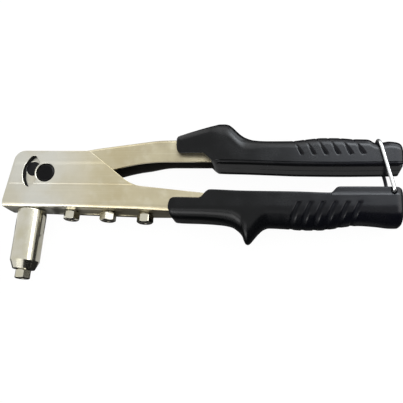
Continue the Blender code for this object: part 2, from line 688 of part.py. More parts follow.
def stations(*lines):
    """X positions for a loft: the knots, and points between those that lie far apart."""
    knots = sorted({x for line in lines for x, _ in line})
    places = [knots[0]]
    for x in knots[1:]:
        start = places[-1]
        gap = x - start
        if gap > STATION_LEAST:
            parts = math.ceil(gap / STATION_STEP)
            places += [start + gap * (i + 1) / parts for i in range(parts)]
    places[-1] = knots[-1]
    return places


def loft(name, sections, material, parent, origin=(0.0, 0.0)):
    """Joins rings of points (x, y, z) into one closed skin."""
    count = len(sections[0])
    points = [(x - origin[0], y - origin[1], z) for ring in sections for x, y, z in ring]
    faces = [tuple(range(count)), tuple(range(len(points) - count, len(points)))]
    for row in range(len(sections) - 1):
        here = row * count
        there = here + count
        for i in range(count):
            after = (i + 1) % count
            faces.append((here + i, here + after, there + after, there + i))
    return make_solid(name, points, faces, material, parent)


def grip_ring(x, flat_y, shoulder_y, round_y, half_width, corner):
    """One section of a grip: a flat inner face, straight sides and a rounded outer face."""
    ring = [(x, flat_y, -half_width), (x, flat_y, half_width)]
    near = []
    for i in range(GRIP_STEPS + 1):
        angle = math.pi / 2 * i / GRIP_STEPS
        z = half_width - corner + corner * math.cos(angle)
        near.append((x, shoulder_y + (round_y - shoulder_y) * math.sin(angle), z))
    far = [(x, y, -z) for x, y, z in reversed(near)]
    return [*ring, *near, *far]


def make_upper_grip(plastic, pivot, root):
    """A moulded sleeve with a thumb hump, pushed over the end of the lever."""
    flat = smooth_line(UPPER_FLAT)
    top = smooth_line(UPPER_ROUND)
    taper = smooth_line(UPPER_TAPER)
    sections = []
    for x in stations(UPPER_FLAT, UPPER_ROUND):
        fillet = min(UPPER_FILLET, FILLET_SHARE * (top(x) - flat(x)))
        half = GRIP_WIDTH / 2 - taper(x)
        sections.append(grip_ring(UPPER_GRIP_X + x, flat(x), top(x) - fillet, top(x), half, fillet))
    grip = loft("upper_grip", sections, plastic, pivot, FULCRUM)
    wide = LEVER_WIDTH / 2 + CLEARANCE
    combine(grip, prism("lever_pocket", lever_outline(CLEARANCE), -wide, wide, None, root), "DIFFERENCE")


def make_lower_grip(plastic, root):
    """A moulded sleeve with a finger guard, pushed over the end of the frame."""
    flat = smooth_line(LOWER_FLAT)
    low = smooth_line(LOWER_ROUND)
    taper = smooth_line(LOWER_TAPER)
    sections = []
    for x in stations(LOWER_FLAT, LOWER_ROUND):
        half = GRIP_WIDTH / 2 - taper(x)
        shoulder = max(min(LOWER_SHOULDER_Y, flat(x) - SHOULDER_LEAST), low(x) + SHOULDER_LEAST)
        corner = min(half - SHOULDER_LEAST, shoulder - low(x))
        sections.append(grip_ring(LOWER_GRIP_X + x, flat(x), shoulder, low(x), half, corner))
    grip = loft("lower_grip", sections, plastic, root)
    wide = FRAME_WIDTH / 2 + CLEARANCE
    end_x = FRAME_END_X + CLEARANCE
    pocket = [
        *[(x, y + CLEARANCE) for x, y in handle_top()[:-1]],
        (end_x, HANDLE_TOP_Y + CLEARANCE),
        (end_x, web_y(end_x) - CLEARANCE),
        (WEB_LEVEL_X, web_y(WEB_LEVEL_X) - CLEARANCE),
    ]
    combine(grip, prism("frame_pocket", pocket, -wide, wide, None, root), "DIFFERENCE")
    hole = plug("bail_hole", BAIL_WIRE / 2 + CLEARANCE, -OUTSIDE, OUTSIDE, root, BAIL_PIVOT)
    combine(grip, hole, "DIFFERENCE")


def make_bail(zinc, pivot):
    """A sprung wire loop: its feet turn in the lower grip and its bar lies in the upper grip's notch."""
    bar_x = BAIL_PIVOT_X - BAIL_LEAN
    bar_y = smooth_line(UPPER_ROUND)(bar_x - UPPER_GRIP_X) + CLEARANCE + BAIL_WIRE / 2
    leg = Vector((bar_x - BAIL_PIVOT_X, bar_y - BAIL_PIVOT[1]))
    reach = leg.length
    foot_z = BAIL_LEG_Z - BAIL_FOOT
    corner = UPPER_FILLET + BAIL_CORNER_ROOM
    flat_route = rounded([
        (0.0, foot_z, 0), (0.0, BAIL_LEG_Z, BAIL_FOOT_CORNER), (reach, BAIL_LEG_Z, corner),
        (reach, -BAIL_LEG_Z, corner), (0.0, -BAIL_LEG_Z, BAIL_FOOT_CORNER), (0.0, -foot_z, 0),
    ])
    route = [(*(leg * (along / reach)), z) for along, z in flat_route]
    wire("bail", route, BAIL_WIRE, 2, zinc, pivot)


def stand_on_base(root):
    """Moves the tool so that its box stands on the origin, centred over it."""
    bpy.context.view_layer.update()
    graph = bpy.context.evaluated_depsgraph_get()
    points = []
    for solid in bpy.context.scene.objects:
        if solid.type == "EMPTY" or solid.hide_render:
            continue
        shape = solid.evaluated_get(graph)
        points += [shape.matrix_world @ vertex.co for vertex in shape.to_mesh().vertices]
        shape.to_mesh_clear()
    low = [min(point[i] for point in points) for i in range(3)]
    high = [max(point[i] for point in points) for i in range(3)]
    root.location -= Vector(((low[0] + high[0]) / 2, (low[1] + high[1]) / 2, low[2]))
    bpy.context.view_layer.update()


def main():
    for old in list(bpy.data.objects):
        bpy.data.objects.remove(old)
    plated = make_material("nickel_plated_steel", (0.62, 0.60, 0.52), 1.0, 0.34)
    chrome = make_material("polished_chrome", (0.72, 0.71, 0.67), 1.0, 0.16)
    oxide = make_material("black_oxide_steel", (0.03, 0.03, 0.032), 0.6, 0.45)
    bright = make_material("turned_steel", (0.55, 0.55, 0.56), 1.0, 0.3)
    spring_steel = make_material("spring_steel", (0.32, 0.32, 0.33), 1.0, 0.4)
    plastic = make_material("black_moulded_plastic", (0.022, 0.024, 0.027), 0.0, 0.48)
    zinc = make_material("zinc_plated_wire", (0.76, 0.77, 0.78), 1.0, 0.2)

    root = make_empty("riveter", None)
    lever_pivot = make_empty("lever_pivot", root, (*FULCRUM, 0.0))
    bail_pivot = make_empty("bail_pivot", root, (*BAIL_PIVOT, 0.0))
    barrel_axis = make_empty("barrel_axis", root, turn=BARREL_TURN)
    puller_slide = make_empty("puller_slide", barrel_axis)
    jaw_slide = make_empty("jaw_slide", puller_slide)

    make_frame(plated, root)
    make_lever(plated, lever_pivot, root)
    make_pins(oxide, root, lever_pivot)
    make_barrel(chrome, barrel_axis)
    make_nosepiece("nosepiece", chrome, barrel_axis, -BARREL_END)
    for i in range(SPARE_COUNT):
        axis = make_empty(f"spare_axis_{i + 1}", root, *spare_place(i))
        make_nosepiece(f"spare_nosepiece_{i + 1}", chrome, axis, 0.0)
    make_puller(bright, puller_slide)
    make_jaws(bright, spring_steel, barrel_axis, puller_slide, jaw_slide)
    make_upper_grip(plastic, lever_pivot, root)
    make_lower_grip(plastic, root)
    make_bail(zinc, bail_pivot)
    stand_on_base(root)
    print(f"puller stroke {PULL_STROKE:.2f} mm over {OPEN_ANGLE:.0f} degrees")
    for empty in (lever_pivot, bail_pivot, barrel_axis):
        print(empty.name, [round(value, 6) for value in empty.matrix_world.translation])


main()
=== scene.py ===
import json
import math

import bmesh
import bpy
from mathutils import Matrix, Vector


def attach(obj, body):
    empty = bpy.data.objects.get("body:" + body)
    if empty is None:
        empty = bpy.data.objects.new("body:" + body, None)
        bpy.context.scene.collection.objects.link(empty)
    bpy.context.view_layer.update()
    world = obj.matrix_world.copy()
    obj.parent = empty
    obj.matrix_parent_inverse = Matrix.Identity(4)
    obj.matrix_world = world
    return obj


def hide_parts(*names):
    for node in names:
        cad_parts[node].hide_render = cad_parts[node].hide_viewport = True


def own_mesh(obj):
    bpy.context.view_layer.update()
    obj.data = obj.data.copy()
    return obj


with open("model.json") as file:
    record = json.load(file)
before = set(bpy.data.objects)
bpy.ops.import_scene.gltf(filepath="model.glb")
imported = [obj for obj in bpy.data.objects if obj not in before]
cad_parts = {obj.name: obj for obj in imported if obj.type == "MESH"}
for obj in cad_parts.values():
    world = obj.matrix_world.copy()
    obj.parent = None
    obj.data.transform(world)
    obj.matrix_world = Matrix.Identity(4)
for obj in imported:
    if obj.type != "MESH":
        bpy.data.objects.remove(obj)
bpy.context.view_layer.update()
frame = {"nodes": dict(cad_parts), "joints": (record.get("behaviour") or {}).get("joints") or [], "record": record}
mm = 0.001

# Places are in millimetres from where the barrel's axis meets the web, as the tool lies on its side.
fulcrum = Vector((11.0, 24.5))
clearance = 0.3
joints = {joint["name"]: joint for joint in frame["joints"]}
home = Vector(joints["lever_open"]["pos_m"]) / mm - fulcrum.to_3d()
place = Matrix.Scale(mm, 4) @ Matrix.Translation(home)
record = frame["record"]
bodyOf = {node: body for body, nodes in record["behaviour"]["bodies"].items() for node in nodes}
slotOf = {part["node"]: part["material_slot"] for part in record["subparts"]}
print("frame loaded:", len(frame["nodes"]), "nodes")


class Sizes(dict):
    # a dictionary whose values can be read as attributes
    __getattr__ = dict.__getitem__


class Signal:
    # a shader socket that takes part in sums
    def __init__(self, finish, socket):
        self.finish = finish
        self.socket = socket

    def sum(self, kind, first, second):
        return self.finish.node("Math", {0: first, 1: second}, operation=kind)

    def __add__(self, other):
        return self.sum("ADD", self, other)

    __radd__ = __add__

    def __rsub__(self, other):
        return self.sum("SUBTRACT", other, self)

    def __mul__(self, other):
        return self.sum("MULTIPLY", self, other)


class Finish:
    # the nodes of a material, or of the world
    def __init__(self, name, shelf="materials", shader="Principled BSDF"):
        self.owner = getattr(bpy.data, shelf).new(name)
        self.owner.use_nodes = True
        self.tree = self.owner.node_tree
        self.shader = self.tree.nodes[shader]

    def node(self, kind, sockets, output=0, **settings):
        made = self.tree.nodes.new("ShaderNode" + kind)
        for key, value in settings.items():
            setattr(made, key, value)
        self.feed(made, sockets)
        return Signal(self, made.outputs[output])

    def feed(self, node, sockets):
        for key, value in sockets.items():
            socket = node.inputs[key]
            if isinstance(value, Signal):
                self.tree.links.new(value.socket, socket)
            elif socket.type == "RGBA":
                socket.default_value = (*value, 1.0)
            else:
                socket.default_value = value

    def where(self, stretch=(1.0, 1.0, 1.0)):
        # the point on the piece, in millimetres
        at = self.node("TexCoord", {}, "Object")
        return self.node("VectorMath", {0: at, 1: [value / mm for value in stretch]}, operation="MULTIPLY")

    def along(self, axis):
        return self.node("SeparateXYZ", {0: self.where()}, axis)

    def noise(self, size, detail=3.0, stretch=(1.0, 1.0, 1.0)):
        return self.node("TexNoise", {"Vector": self.where(stretch), "Scale": 1.0 / size, "Detail": detail})

    def span(self, value, low, high, ends=(0.0, 1.0)):
        # eases from the first end to the second as the value goes from low to high
        sockets = {0: value, 1: low, 2: high, 3: ends[0], 4: ends[1]}
        return self.node("MapRange", sockets, interpolation_type="SMOOTHSTEP")

    def blend(self, share, first, second):
        return self.node("Mix", {0: share, 6: first, 7: second}, 2, data_type="RGBA")

    def relief(self, height, depth):
        return self.node("Bump", {"Height": height, "Distance": depth * mm, "Strength": 1.0})

    def seen(self):
        # 1 for a ray from the camera or off a shiny surface, otherwise 0
        return self.node("LightPath", {}, "Is Camera Ray") + self.node("LightPath", {}, "Is Glossy Ray")

    def give(self, **sockets):
        self.feed(self.shader, {key.replace("_", " "): value for key, value in sockets.items()})
        return self.owner


fading = (1.0, 0.0)
plate = Sizes(
    # darken and the dip values place painted shade along the handles and over a patch behind the head
    head=(0.525, 0.516, 0.462), warm=(-106.0, -58.0), darken=(-62.0, -8.0),
    dipFront=(-76.0, -60.0), dipRear=(-53.0, -36.0), dipShare=0.5, dipTone=(0.345, 0.295, 0.175),
    # each mark: where it begins and is full, its strength and its tone
    cloud=(0.4, 0.66, 0.5, (0.42, 0.38, 0.265)),
    mottle=(0.45, 0.75, 0.22, (0.57, 0.54, 0.44)),
    streak=(0.5, 0.8, 0.08, (0.72, 0.70, 0.62)),
    rough=0.27, streakRough=0.05, cloudRough=0.10, relief=0.010,
    # painted shadow round the lever's ears: its tone, how it fades in and out, and how much it dulls the metal
    soil=(0.006, 0.006, 0.006), soilIn=0.3, soilOut=1.0, soilDull=0.9,
)


def platedFinish(name, handle, fade, shadowRing=None):
    # satin nickel: grey at the head, warmer along the handles, clouded, with faint draw marks; painted shade makes
    # it darker along the handles and over a patch behind the head
    finish = Finish(name)
    x = finish.along("X")
    marks = {
        "cloud": finish.noise(24.0, 4.0), "mottle": finish.noise(7.0),
        "streak": finish.noise(1.0, stretch=(0.02, 0.9, 0.9)),
    }
    tone = finish.blend(finish.span(x, *plate.warm), plate.head, handle)
    # painted shade: darker along the handles, and over a patch behind the head
    tone = finish.blend(finish.span(x, *plate.darken), tone, [part * fade for part in handle])
    shadePatch = finish.span(x, *plate.dipFront) * finish.span(x, *plate.dipRear, fading)
    tone = finish.blend(shadePatch * plate.dipShare, tone, plate.dipTone)
    for key, mark in marks.items():
        low, high, strength, stain = plate[key]
        tone = finish.blend(finish.span(mark, low, high) * strength, tone, stain)
    bright = 1.0
    if shadowRing:
        # painted shadow: a dark, less metallic ring round the ears' rim, where the window's edge shades them
        at, low, high = shadowRing
        flat = finish.where((1.0, 1.0, 0.0))
        reach = finish.node("VectorMath", {0: flat, 1: at}, "Value", operation="DISTANCE")
        edge = finish.span(reach, low, low + plate.soilIn)
        edge = edge * finish.span(reach, high, high + plate.soilOut, fading)
        tone = finish.blend(edge, tone, plate.soil)
        bright = 1.0 - edge * plate.soilDull
    rough = plate.rough + marks["streak"] * plate.streakRough + marks["cloud"] * plate.cloudRough
    bumps = finish.relief(marks["streak"] * 0.4 + marks["mottle"] * 0.5, plate.relief)
    return finish.give(Base_Color=tone, Metallic=bright, Roughness=rough, Normal=bumps)


def shadeFinish():
    # painted shade: near-black dull steel for faces that fall in shadow
    finish = Finish("shadeSteel")
    cloud = finish.noise(5.0, 4.0)
    tone = finish.blend(cloud, (0.010, 0.009, 0.008), (0.022, 0.020, 0.017))
    return finish.give(
        Base_Color=tone, Metallic=0.3, Roughness=0.55 + cloud * 0.2, Normal=finish.relief(cloud, 0.02),
        Specular_IOR_Level=0.25)


def chromeFinish():
    # bright plate over fine turning marks
    finish = Finish("brightPlate")
    rings = finish.noise(0.35, 2.0, (0.02, 1.0, 0.02))
    cloud = finish.noise(9.0)
    tone = finish.blend(finish.span(cloud, 0.3, 0.75), (0.57, 0.55, 0.47), (0.50, 0.475, 0.36))
    return finish.give(
        Base_Color=tone, Metallic=1.0, Roughness=0.10 + rings * 0.07 + cloud * 0.05,
        Normal=finish.relief(rings, 0.004))


def oxideFinish(name, dark, light, sheen):
    finish = Finish(name)
    grain = finish.noise(0.5, 4.0)
    cloud = finish.noise(4.0)
    tone = finish.blend(cloud, (dark, dark, dark * 1.15), (light, light, light * 1.1))
    return finish.give(
        Base_Color=tone, Roughness=0.30 + grain * 0.15, Normal=finish.relief(grain, 0.012),
        Specular_IOR_Level=sheen)


def plasticFinish(name, roughness, sheen):
    # moulded black plastic: fine grain, handling marks; painted light makes it lighter and bluer towards the ends
    # of the grips
    finish = Finish(name)
    grain = finish.noise(0.32, 2.0)
    cloud = finish.noise(14.0, 4.0)
    rub = finish.noise(1.2, stretch=(0.12, 1.0, 1.0))
    rearLight = finish.span(finish.along("X"), 20.0, 120.0)
    tone = finish.blend(rearLight, (0.0018, 0.0022, 0.0025), (0.0034, 0.0037, 0.0068))
    tone = finish.blend(finish.span(cloud, 0.35, 0.75) * 0.4, tone, (0.0038, 0.0042, 0.0052))
    rough = roughness + finish.span(cloud, 0.3, 0.7) * 0.07 + rub * 0.06
    return finish.give(
        Base_Color=tone, Roughness=rough, Normal=finish.relief(grain + rub * 0.5, 0.008),
        Specular_IOR_Level=sheen)


def wireFinish():
    # bright zinc, with painted shade darkening the leg that lies underneath
    finish = Finish("brightZinc")
    drawn = finish.noise(0.6, stretch=(1.0, 0.06, 1.0))
    tone = finish.blend(finish.noise(5.0), (0.80, 0.81, 0.82), (0.66, 0.67, 0.66))
    # painted shade: the wire darkens and dulls towards the floor
    underShade = finish.span(finish.along("Z"), 5.0, 12.0, fading)
    tone = finish.blend(underShade, tone, (0.045, 0.045, 0.050))
    return finish.give(
        Base_Color=tone, Metallic=1.0, Roughness=0.20 + drawn * 0.12 + underShade * 0.2,
        Normal=finish.relief(drawn, 0.006))


def steelFinish(name, light, dark, rough):
    finish = Finish(name)
    marks = finish.noise(0.4, stretch=(0.05, 1.0, 0.05))
    return finish.give(
        Base_Color=finish.blend(finish.noise(4.0), light, dark), Metallic=1.0,
        Roughness=rough + marks * 0.15, Normal=finish.relief(marks, 0.006))


finishes = {
    "nickel_plated_steel": platedFinish("satinNickel", handle=(0.455, 0.402, 0.270), fade=0.76),
    "polished_chrome": chromeFinish(),
    "black_oxide_steel": oxideFinish("blackOxide", dark=0.003, light=0.007, sheen=0.07),
    "black_moulded_plastic": plasticFinish("mouldedPlastic", roughness=0.18, sheen=0.18),
    "zinc_plated_wire": wireFinish(),
    "turned_steel": steelFinish("turnedSteel", (0.56, 0.56, 0.57), (0.42, 0.42, 0.42), 0.24),
    "spring_steel": steelFinish("springSteel", (0.34, 0.34, 0.35), (0.22, 0.22, 0.23), 0.34),
}
extras = {
    "paintedShade": shadeFinish(),
    "rubbed": oxideFinish("rubbedOxide", dark=0.010, light=0.018, sheen=0.10),
    "recessed": plasticFinish("recessedPlastic", roughness=0.42, sheen=0.08),
}
print("finishes:", len(finishes) + len(extras))


def ease(value, low, high):
    share = max(0.0, min(1.0, (value - low) / (high - low)))
    return share * share * (3 - 2 * share)


def between(first, last, share):
    return first + (last - first) * share


def evenly(first, last, count):
    # values in equal steps, with both ends
    return [between(first, last, i / count) for i in range(count + 1)]


def quarter(count):
    # sine and cosine through a quarter turn
    return [(math.sin(turn), math.cos(turn)) for turn in evenly(0.0, math.pi / 2, count)]


def circle(x, y, radius, count=64):
    turns = evenly(0.0, math.tau, count)[:-1]
    return [(x + radius * math.cos(turn), y + radius * math.sin(turn)) for turn in turns]


def rounded(corners, steps=10):
    # an outline whose corners (x, y, radius) are turned into arcs
    outline = []
    for i, (x, y, radius) in enumerate(corners):
        if radius == 0:
            outline.append((x, y))
            continue
        here = Vector((x, y))
        before = (Vector(corners[i - 1][:2]) - here).normalized()
        after = (Vector(corners[(i + 1) % len(corners)][:2]) - here).normalized()
        half = before.angle(after) / 2
        centre = here + (before + after).normalized() * (radius / math.sin(half))
        first = here + before * (radius / math.tan(half)) - centre
        last = here + after * (radius / math.tan(half)) - centre
        for turn in evenly(0.0, -first.angle_signed(last), steps):
            cos, sin = math.cos(turn), math.sin(turn)
            across = centre.x + first.x * cos - first.y * sin
            outline.append((across, centre.y + first.x * sin + first.y * cos))
    return outline


def throughKnots(knots):
    # a height along X that passes through the knots without overshooting them
    xs, ys = zip(*knots)
    slopes = [(ys[i + 1] - ys[i]) / (xs[i + 1] - xs[i]) for i in range(len(xs) - 1)]
    tangents = [slopes[0]]
    for left, right in zip(slopes, slopes[1:]):
        tangents.append(0.0 if left * right <= 0 else 2 * left * right / (left + right))
    tangents.append(slopes[-1])

    def height(x):
        i = max(0, min(len(xs) - 2, sum(1 for knot in xs if knot <= x) - 1))
        width = xs[i + 1] - xs[i]
        t = max(0.0, min(1.0, (x - xs[i]) / width))
        bend = (1 + 2 * t) * ys[i] * (1 - t) ** 2 + t ** 2 * (3 - 2 * t) * ys[i + 1]
        return bend + width * (t * (1 - t) ** 2 * tangents[i] - t ** 2 * (1 - t) * tangents[i + 1])
    return height


def onLine(points):
    # a height along X that runs straight from point to point
    def height(x):
        for (x0, y0), (x1, y1) in zip(points, points[1:]):
            if x <= x1:
                return between(y0, y1, (x - x0) / (x1 - x0))
        return points[-1][1]
    return height


def spaced(points, step):
    # the same path with no stretch longer than the step
    path = points[:1]
    for (x0, y0), (x1, y1) in zip(points, points[1:]):
        parts = max(1, math.ceil(math.hypot(x1 - x0, y1 - y0) / step))
        path += list(zip(evenly(x0, x1, parts), evenly(y0, y1, parts)))[1:]
    return path


weld = 0.0005  # points closer than this become one


def moved(work, matrix):
    bmesh.ops.transform(work, matrix=matrix, verts=work.verts)
    return work


def newObject(name, data):
    made = bpy.data.objects.new(name, data)
    bpy.context.collection.objects.link(made)
    return made


def meshOf(holder):
    # the faces of an object as its modifiers leave it, without the object
    bpy.context.view_layer.update()
    mesh = bpy.data.meshes.new_from_object(holder.evaluated_get(bpy.context.evaluated_depsgraph_get()))
    bpy.data.objects.remove(holder)
    work = bmesh.new()
    work.from_mesh(mesh)
    bpy.data.meshes.remove(mesh)
    bmesh.ops.remove_doubles(work, verts=work.verts, dist=weld)
    return work


def asMesh(work, name):
    bmesh.ops.recalc_face_normals(work, faces=work.faces)
    mesh = bpy.data.meshes.new(name)
    work.to_mesh(mesh)
    work.free()
    return mesh


def addPiece(work, name, node, extra=(), crease=34.0):
    mesh = asMesh(work, name)
    mesh.transform(place)
    mesh.shade_smooth()
    mesh.set_sharp_from_angle(angle=math.radians(crease))
    for finish in (finishes[slotOf[node]], *extra):
        mesh.materials.append(finish)
    piece = newObject(name, mesh)
    piece.modifiers.new("evenShading", "WEIGHTED_NORMAL").keep_sharp = True
    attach(piece, bodyOf[node])
    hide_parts(node)
    return piece


def curveWork(lines, closed, **settings):
    # the faces of a curve through the points of each line
    curve = bpy.data.curves.new("drawn", "CURVE")
    for key, value in settings.items():
        setattr(curve, key, value)
    for points in lines:
        line = curve.splines.new("POLY")
        line.points.add(len(points) - 1)
        for point, at in zip(line.points, points):
            point.co = (*at, 1.0)
        line.use_cyclic_u = closed
    return meshOf(newObject("drawn", curve))


def flatBlank(outline, holes, sizes):
    # a plate with rounded edges, whose outer face is at height 0 and whose inner face is below it
    half, edge = sizes.sheet / 2, sizes.edge
    loops = [[(x, y, 0.0) for x, y in loop] for loop in (outline, *holes)]
    work = curveWork(
        loops, True, dimensions="2D", fill_mode="BOTH", extrude=half - edge, bevel_depth=edge,
        bevel_resolution=2, offset=-edge)
    return moved(work, Matrix.Translation((0.0, 0.0, -half)))


def wireWork(route, diameter):
    return curveWork(
        [route], False, dimensions="3D", bevel_depth=diameter / 2, bevel_resolution=6, use_fill_caps=True)


def score(work, point, normal):
    # a line of new edges across the blank
    bmesh.ops.bisect_plane(
        work, geom=[*work.verts, *work.edges, *work.faces], plane_co=(*point, 0.0), plane_no=(*normal, 0.0),
        dist=weld / 5)


def foldChannel(work, sizes, base, rise, skew=None):
    # bends a blank into a channel about X, from its base line towards rise, round elliptical corners
    half, bend, climb = sizes.half, sizes.bend, sizes.climb
    flat = half - bend
    arc = (bend + climb) * math.pi / 4
    for side in (-1, 1):
        for across in evenly(flat, flat + arc, 10):
            score(work, (0.0, side * across), (0.0, 1.0))
    for vertex in work.verts:
        x, across, depth = vertex.co
        side = 1 if across > 0 else -1
        reach = abs(across)
        if reach <= flat:
            lift, z = -depth, across
        elif reach < flat + arc:
            turn = (reach - flat) / arc * math.pi / 2
            out = Vector((math.sin(turn) / bend, -math.cos(turn) / climb)).normalized()
            lift = climb * (1 - math.cos(turn)) + depth * out.y
            z = side * (flat + bend * math.sin(turn) + depth * out.x)
        else:
            lift = climb + reach - flat - arc
            z = side * (half + depth)
        vertex.co = (x, base(x) + rise * lift + (skew(x, lift, z) if skew else 0.0), z)


def unfolded(sizes, base, rise):
    # where a point of the folded channel's cheek lies on its blank
    bend, climb = sizes.bend, sizes.climb
    start = sizes.half - bend + (bend + climb) * math.pi / 4
    return lambda x, y, side=1: (x, side * (start + rise * (y - base(x)) - climb))


def onCheeks(unfold, *loops):
    return [[unfold(*point, face) for point in loop] for face in (1, -1) for loop in loops]


frameSizes = Sizes(
    half=11.0, sheet=2.5, bend=2.2, climb=4.4, edge=0.35, toe=-19.2, webFront=-18.85,
    lean=9.5, topY=41.2, rear=(41.7, 40.2), foot=(73.7, 15.2), neck=(122.4, 9.6), fall=10.0,
    handleY=6.8, end=225.2, slope=2.0, level=78.2,
    frontCorner=8.0, rearCorner=4.0, footRadius=24.0,
    bandHeight=0.4, bandLow=15.6, bandHigh=32.9, bandSlant=(0.6, -0.9), bandFront=0.8,
    bandRear=3.0, bandRamps=(1.3, 1.3, 3.38, 1.3),
    pinHole=6.8, barrelHole=7.6, spareHole=4.15,
    nearLift=(
        (-30.0, 0.0), (0.0, 0.1), (21.0, 0.85), (42.0, 1.4), (64.0, 1.7), (74.0, 1.2), (85.0, 0.4),
        (94.0, 0.0)),
    liftTop=9.0,
)
window = Sizes(
    inner=7.9, outer=16.6, start=124.0, end=223.0, corner=2.4, margin=0.3, turnMargin=3.0, rim=0.15)
spares = Sizes(first=29.3, pitch=26.3, turns=(34.0, 57.8, 36.0))


def webY(x):
    return -math.tan(math.radians(frameSizes.slope)) * min(x, frameSizes.level)


def nearLift(x):
    # the web is a little out of square: its near edge sits higher
    return throughKnots(frameSizes.nearLift)(x)


def aroundFulcrum(radius, degrees):
    turn = math.radians(degrees)
    return fulcrum.x + radius * math.cos(turn), fulcrum.y + radius * math.sin(turn)


def spareX(index):
    return spares.first + spares.pitch * index


def windowOutline():
    arc = evenly(window.start, window.end, 24)
    # two points beside each rounded corner are left out
    outer = [(arc[0], window.corner), *((degrees, 0) for degrees in arc[3:-3]), (arc[-1], window.corner)]
    rim = [(*aroundFulcrum(window.outer, degrees), radius) for degrees, radius in outer]
    rim += [(*aroundFulcrum(window.inner, degrees), 0) for degrees in reversed(arc)]
    return rounded(rim, 6)


def pressBand(work, band, side):
    # presses the band outwards on one cheek, with a ramp along each of its edges
    centre = sum(band, Vector((0.0, 0.0))) / len(band)
    edges = []
    for first, last, ramp in zip(band, band[1:] + band[:1], frameSizes.bandRamps):
        normal = Vector((first.y - last.y, last.x - first.x)).normalized()
        normal *= 1 if normal.dot(centre - first) > 0 else -1
        edges.append((first, normal / ramp))
        for reach in evenly(0.0, ramp, 4):
            score(work, first + normal * reach, normal)
    for vertex in work.verts:
        if vertex.co.y * side >= frameSizes.half:
            depth = min((vertex.co.xy - first).dot(normal) for first, normal in edges)
            vertex.co.z += frameSizes.bandHeight * ease(depth, 0.0, 1.0)


def makeFrame():
    sizes = frameSizes
    lean = math.tan(math.radians(sizes.lean))

    def frontX(y):
        return sizes.toe + lean * (y - webY(sizes.toe))

    def slantX(y):
        (rearX, rearY), (footX, footY) = sizes.rear, sizes.foot
        return between(rearX, footX, (rearY - y) / (rearY - footY))
    unfold = unfolded(sizes, webY, 1)
    toeY = webY(sizes.toe) + sizes.climb
    side = rounded([
        (sizes.end, sizes.handleY, 0), (sizes.neck[0] + sizes.fall, sizes.handleY, 0),
        (*sizes.neck, 0), (*sizes.foot, sizes.footRadius), (*sizes.rear, sizes.rearCorner),
        (frontX(sizes.topY), sizes.topY, sizes.frontCorner), (frontX(toeY), toeY, 0),
    ])
    outline = [unfold(*point) for point in side] + [(sizes.webFront, 0.0)]
    outline += [unfold(*point, -1) for point in reversed(side)]
    holes = [circle(0.0, 0.0, sizes.barrelHole)]
    holes += [circle(spareX(i), 0.0, sizes.spareHole) for i in range(len(spares.turns))]
    holes += onCheeks(unfold, windowOutline(), circle(*fulcrum, sizes.pinHole))
    work = flatBlank(outline, holes, sizes)
    score(work, (sizes.level, 0.0), (1.0, 0.0))

    # the band pressed outwards across each cheek
    low, high = sizes.bandLow, sizes.bandHigh
    lowFront, lowRear = (low + slant for slant in sizes.bandSlant)
    band = [
        (frontX(low) + sizes.bandFront, lowFront), (slantX(lowRear) + sizes.bandRear, lowRear),
        (slantX(high) + sizes.bandRear, high), (frontX(high) + sizes.bandFront, high),
    ]
    for face in (1, -1):
        pressBand(work, [Vector(unfold(*point, face)) for point in band], face)

    def skew(x, lift, z):
        across = ease(z, -sizes.half, sizes.half - sizes.bend)
        return nearLift(x) * across * (1 - ease(lift, 0.0, sizes.liftTop))
    foldChannel(work, sizes, webY, 1, skew)

    # the window's cut wall is painted dark as shade
    for face in work.faces:
        middle = face.calc_center_median()
        offset = middle.xy - fulcrum
        angle = math.degrees(math.atan2(offset.y, offset.x)) % 360
        inArc = window.start - window.turnMargin < angle < window.end + window.turnMargin
        inRing = window.inner - window.margin < offset.length < window.outer + window.margin
        if inArc and inRing and abs(middle.z) < sizes.half - window.rim:
            face.material_index = 1
    addPiece(work, "frame_folded", "frame", [extras["paintedShade"]])


leverSizes = Sizes(
    half=8.0, sheet=2.0, bend=2.4, climb=2.4, edge=0.3, webX=23.2, earY=39.6, earRadius=17.6, earRise=4.0,
    step=3.0, top=((46.0, 43.4, 100), (90.0, 48.8, 100), (130.2, 48.6, 0), (150.2, 44.2, 0)),
    bottom=((74.2, 31.3, 100), (90.2, 32.7, 100), (128.2, 32.3, 0)), throat=(27.2, 18.8), farDrop=1.4,
    farRise=0.5, farTurn=(80.0, 99.0), farFrom=60.0, end=229.8, endLow=31.8, endHigh=41.1, pinHole=4.15,
    lifterHole=5.15, tone=(0.41, 0.36, 0.238), fade=0.64, soilFrom=15.4,
    touch=0.01, endMargin=1.0)
lifter = Sizes(radius=11.3, angle=159.8)


def leverPath(margin=0.0):
    # side view of the lever: round its ears and along its lower edge, then back along its top
    sizes = leverSizes
    first = 180 - math.degrees(math.asin((sizes.earY - fulcrum.y) / sizes.earRadius))
    throat = Vector(sizes.throat) - fulcrum
    last = 360 + math.degrees(math.atan2(throat.y, throat.x))
    ears = [(*aroundFulcrum(sizes.earRadius, degrees), 0) for degrees in evenly(first, last, 60)]
    lower = [(x, y - margin, sweep) for x, y, sweep in sizes.bottom]
    upper = [(x, y + margin, sweep) for x, y, sweep in sizes.top]
    end = sizes.end + margin
    under = [*ears, *lower, (end, sizes.endLow - margin, 0)]
    over = [(end, sizes.endHigh + margin, 0), *reversed(upper), (sizes.webX, sizes.earY + margin, 0)]
    return under, over


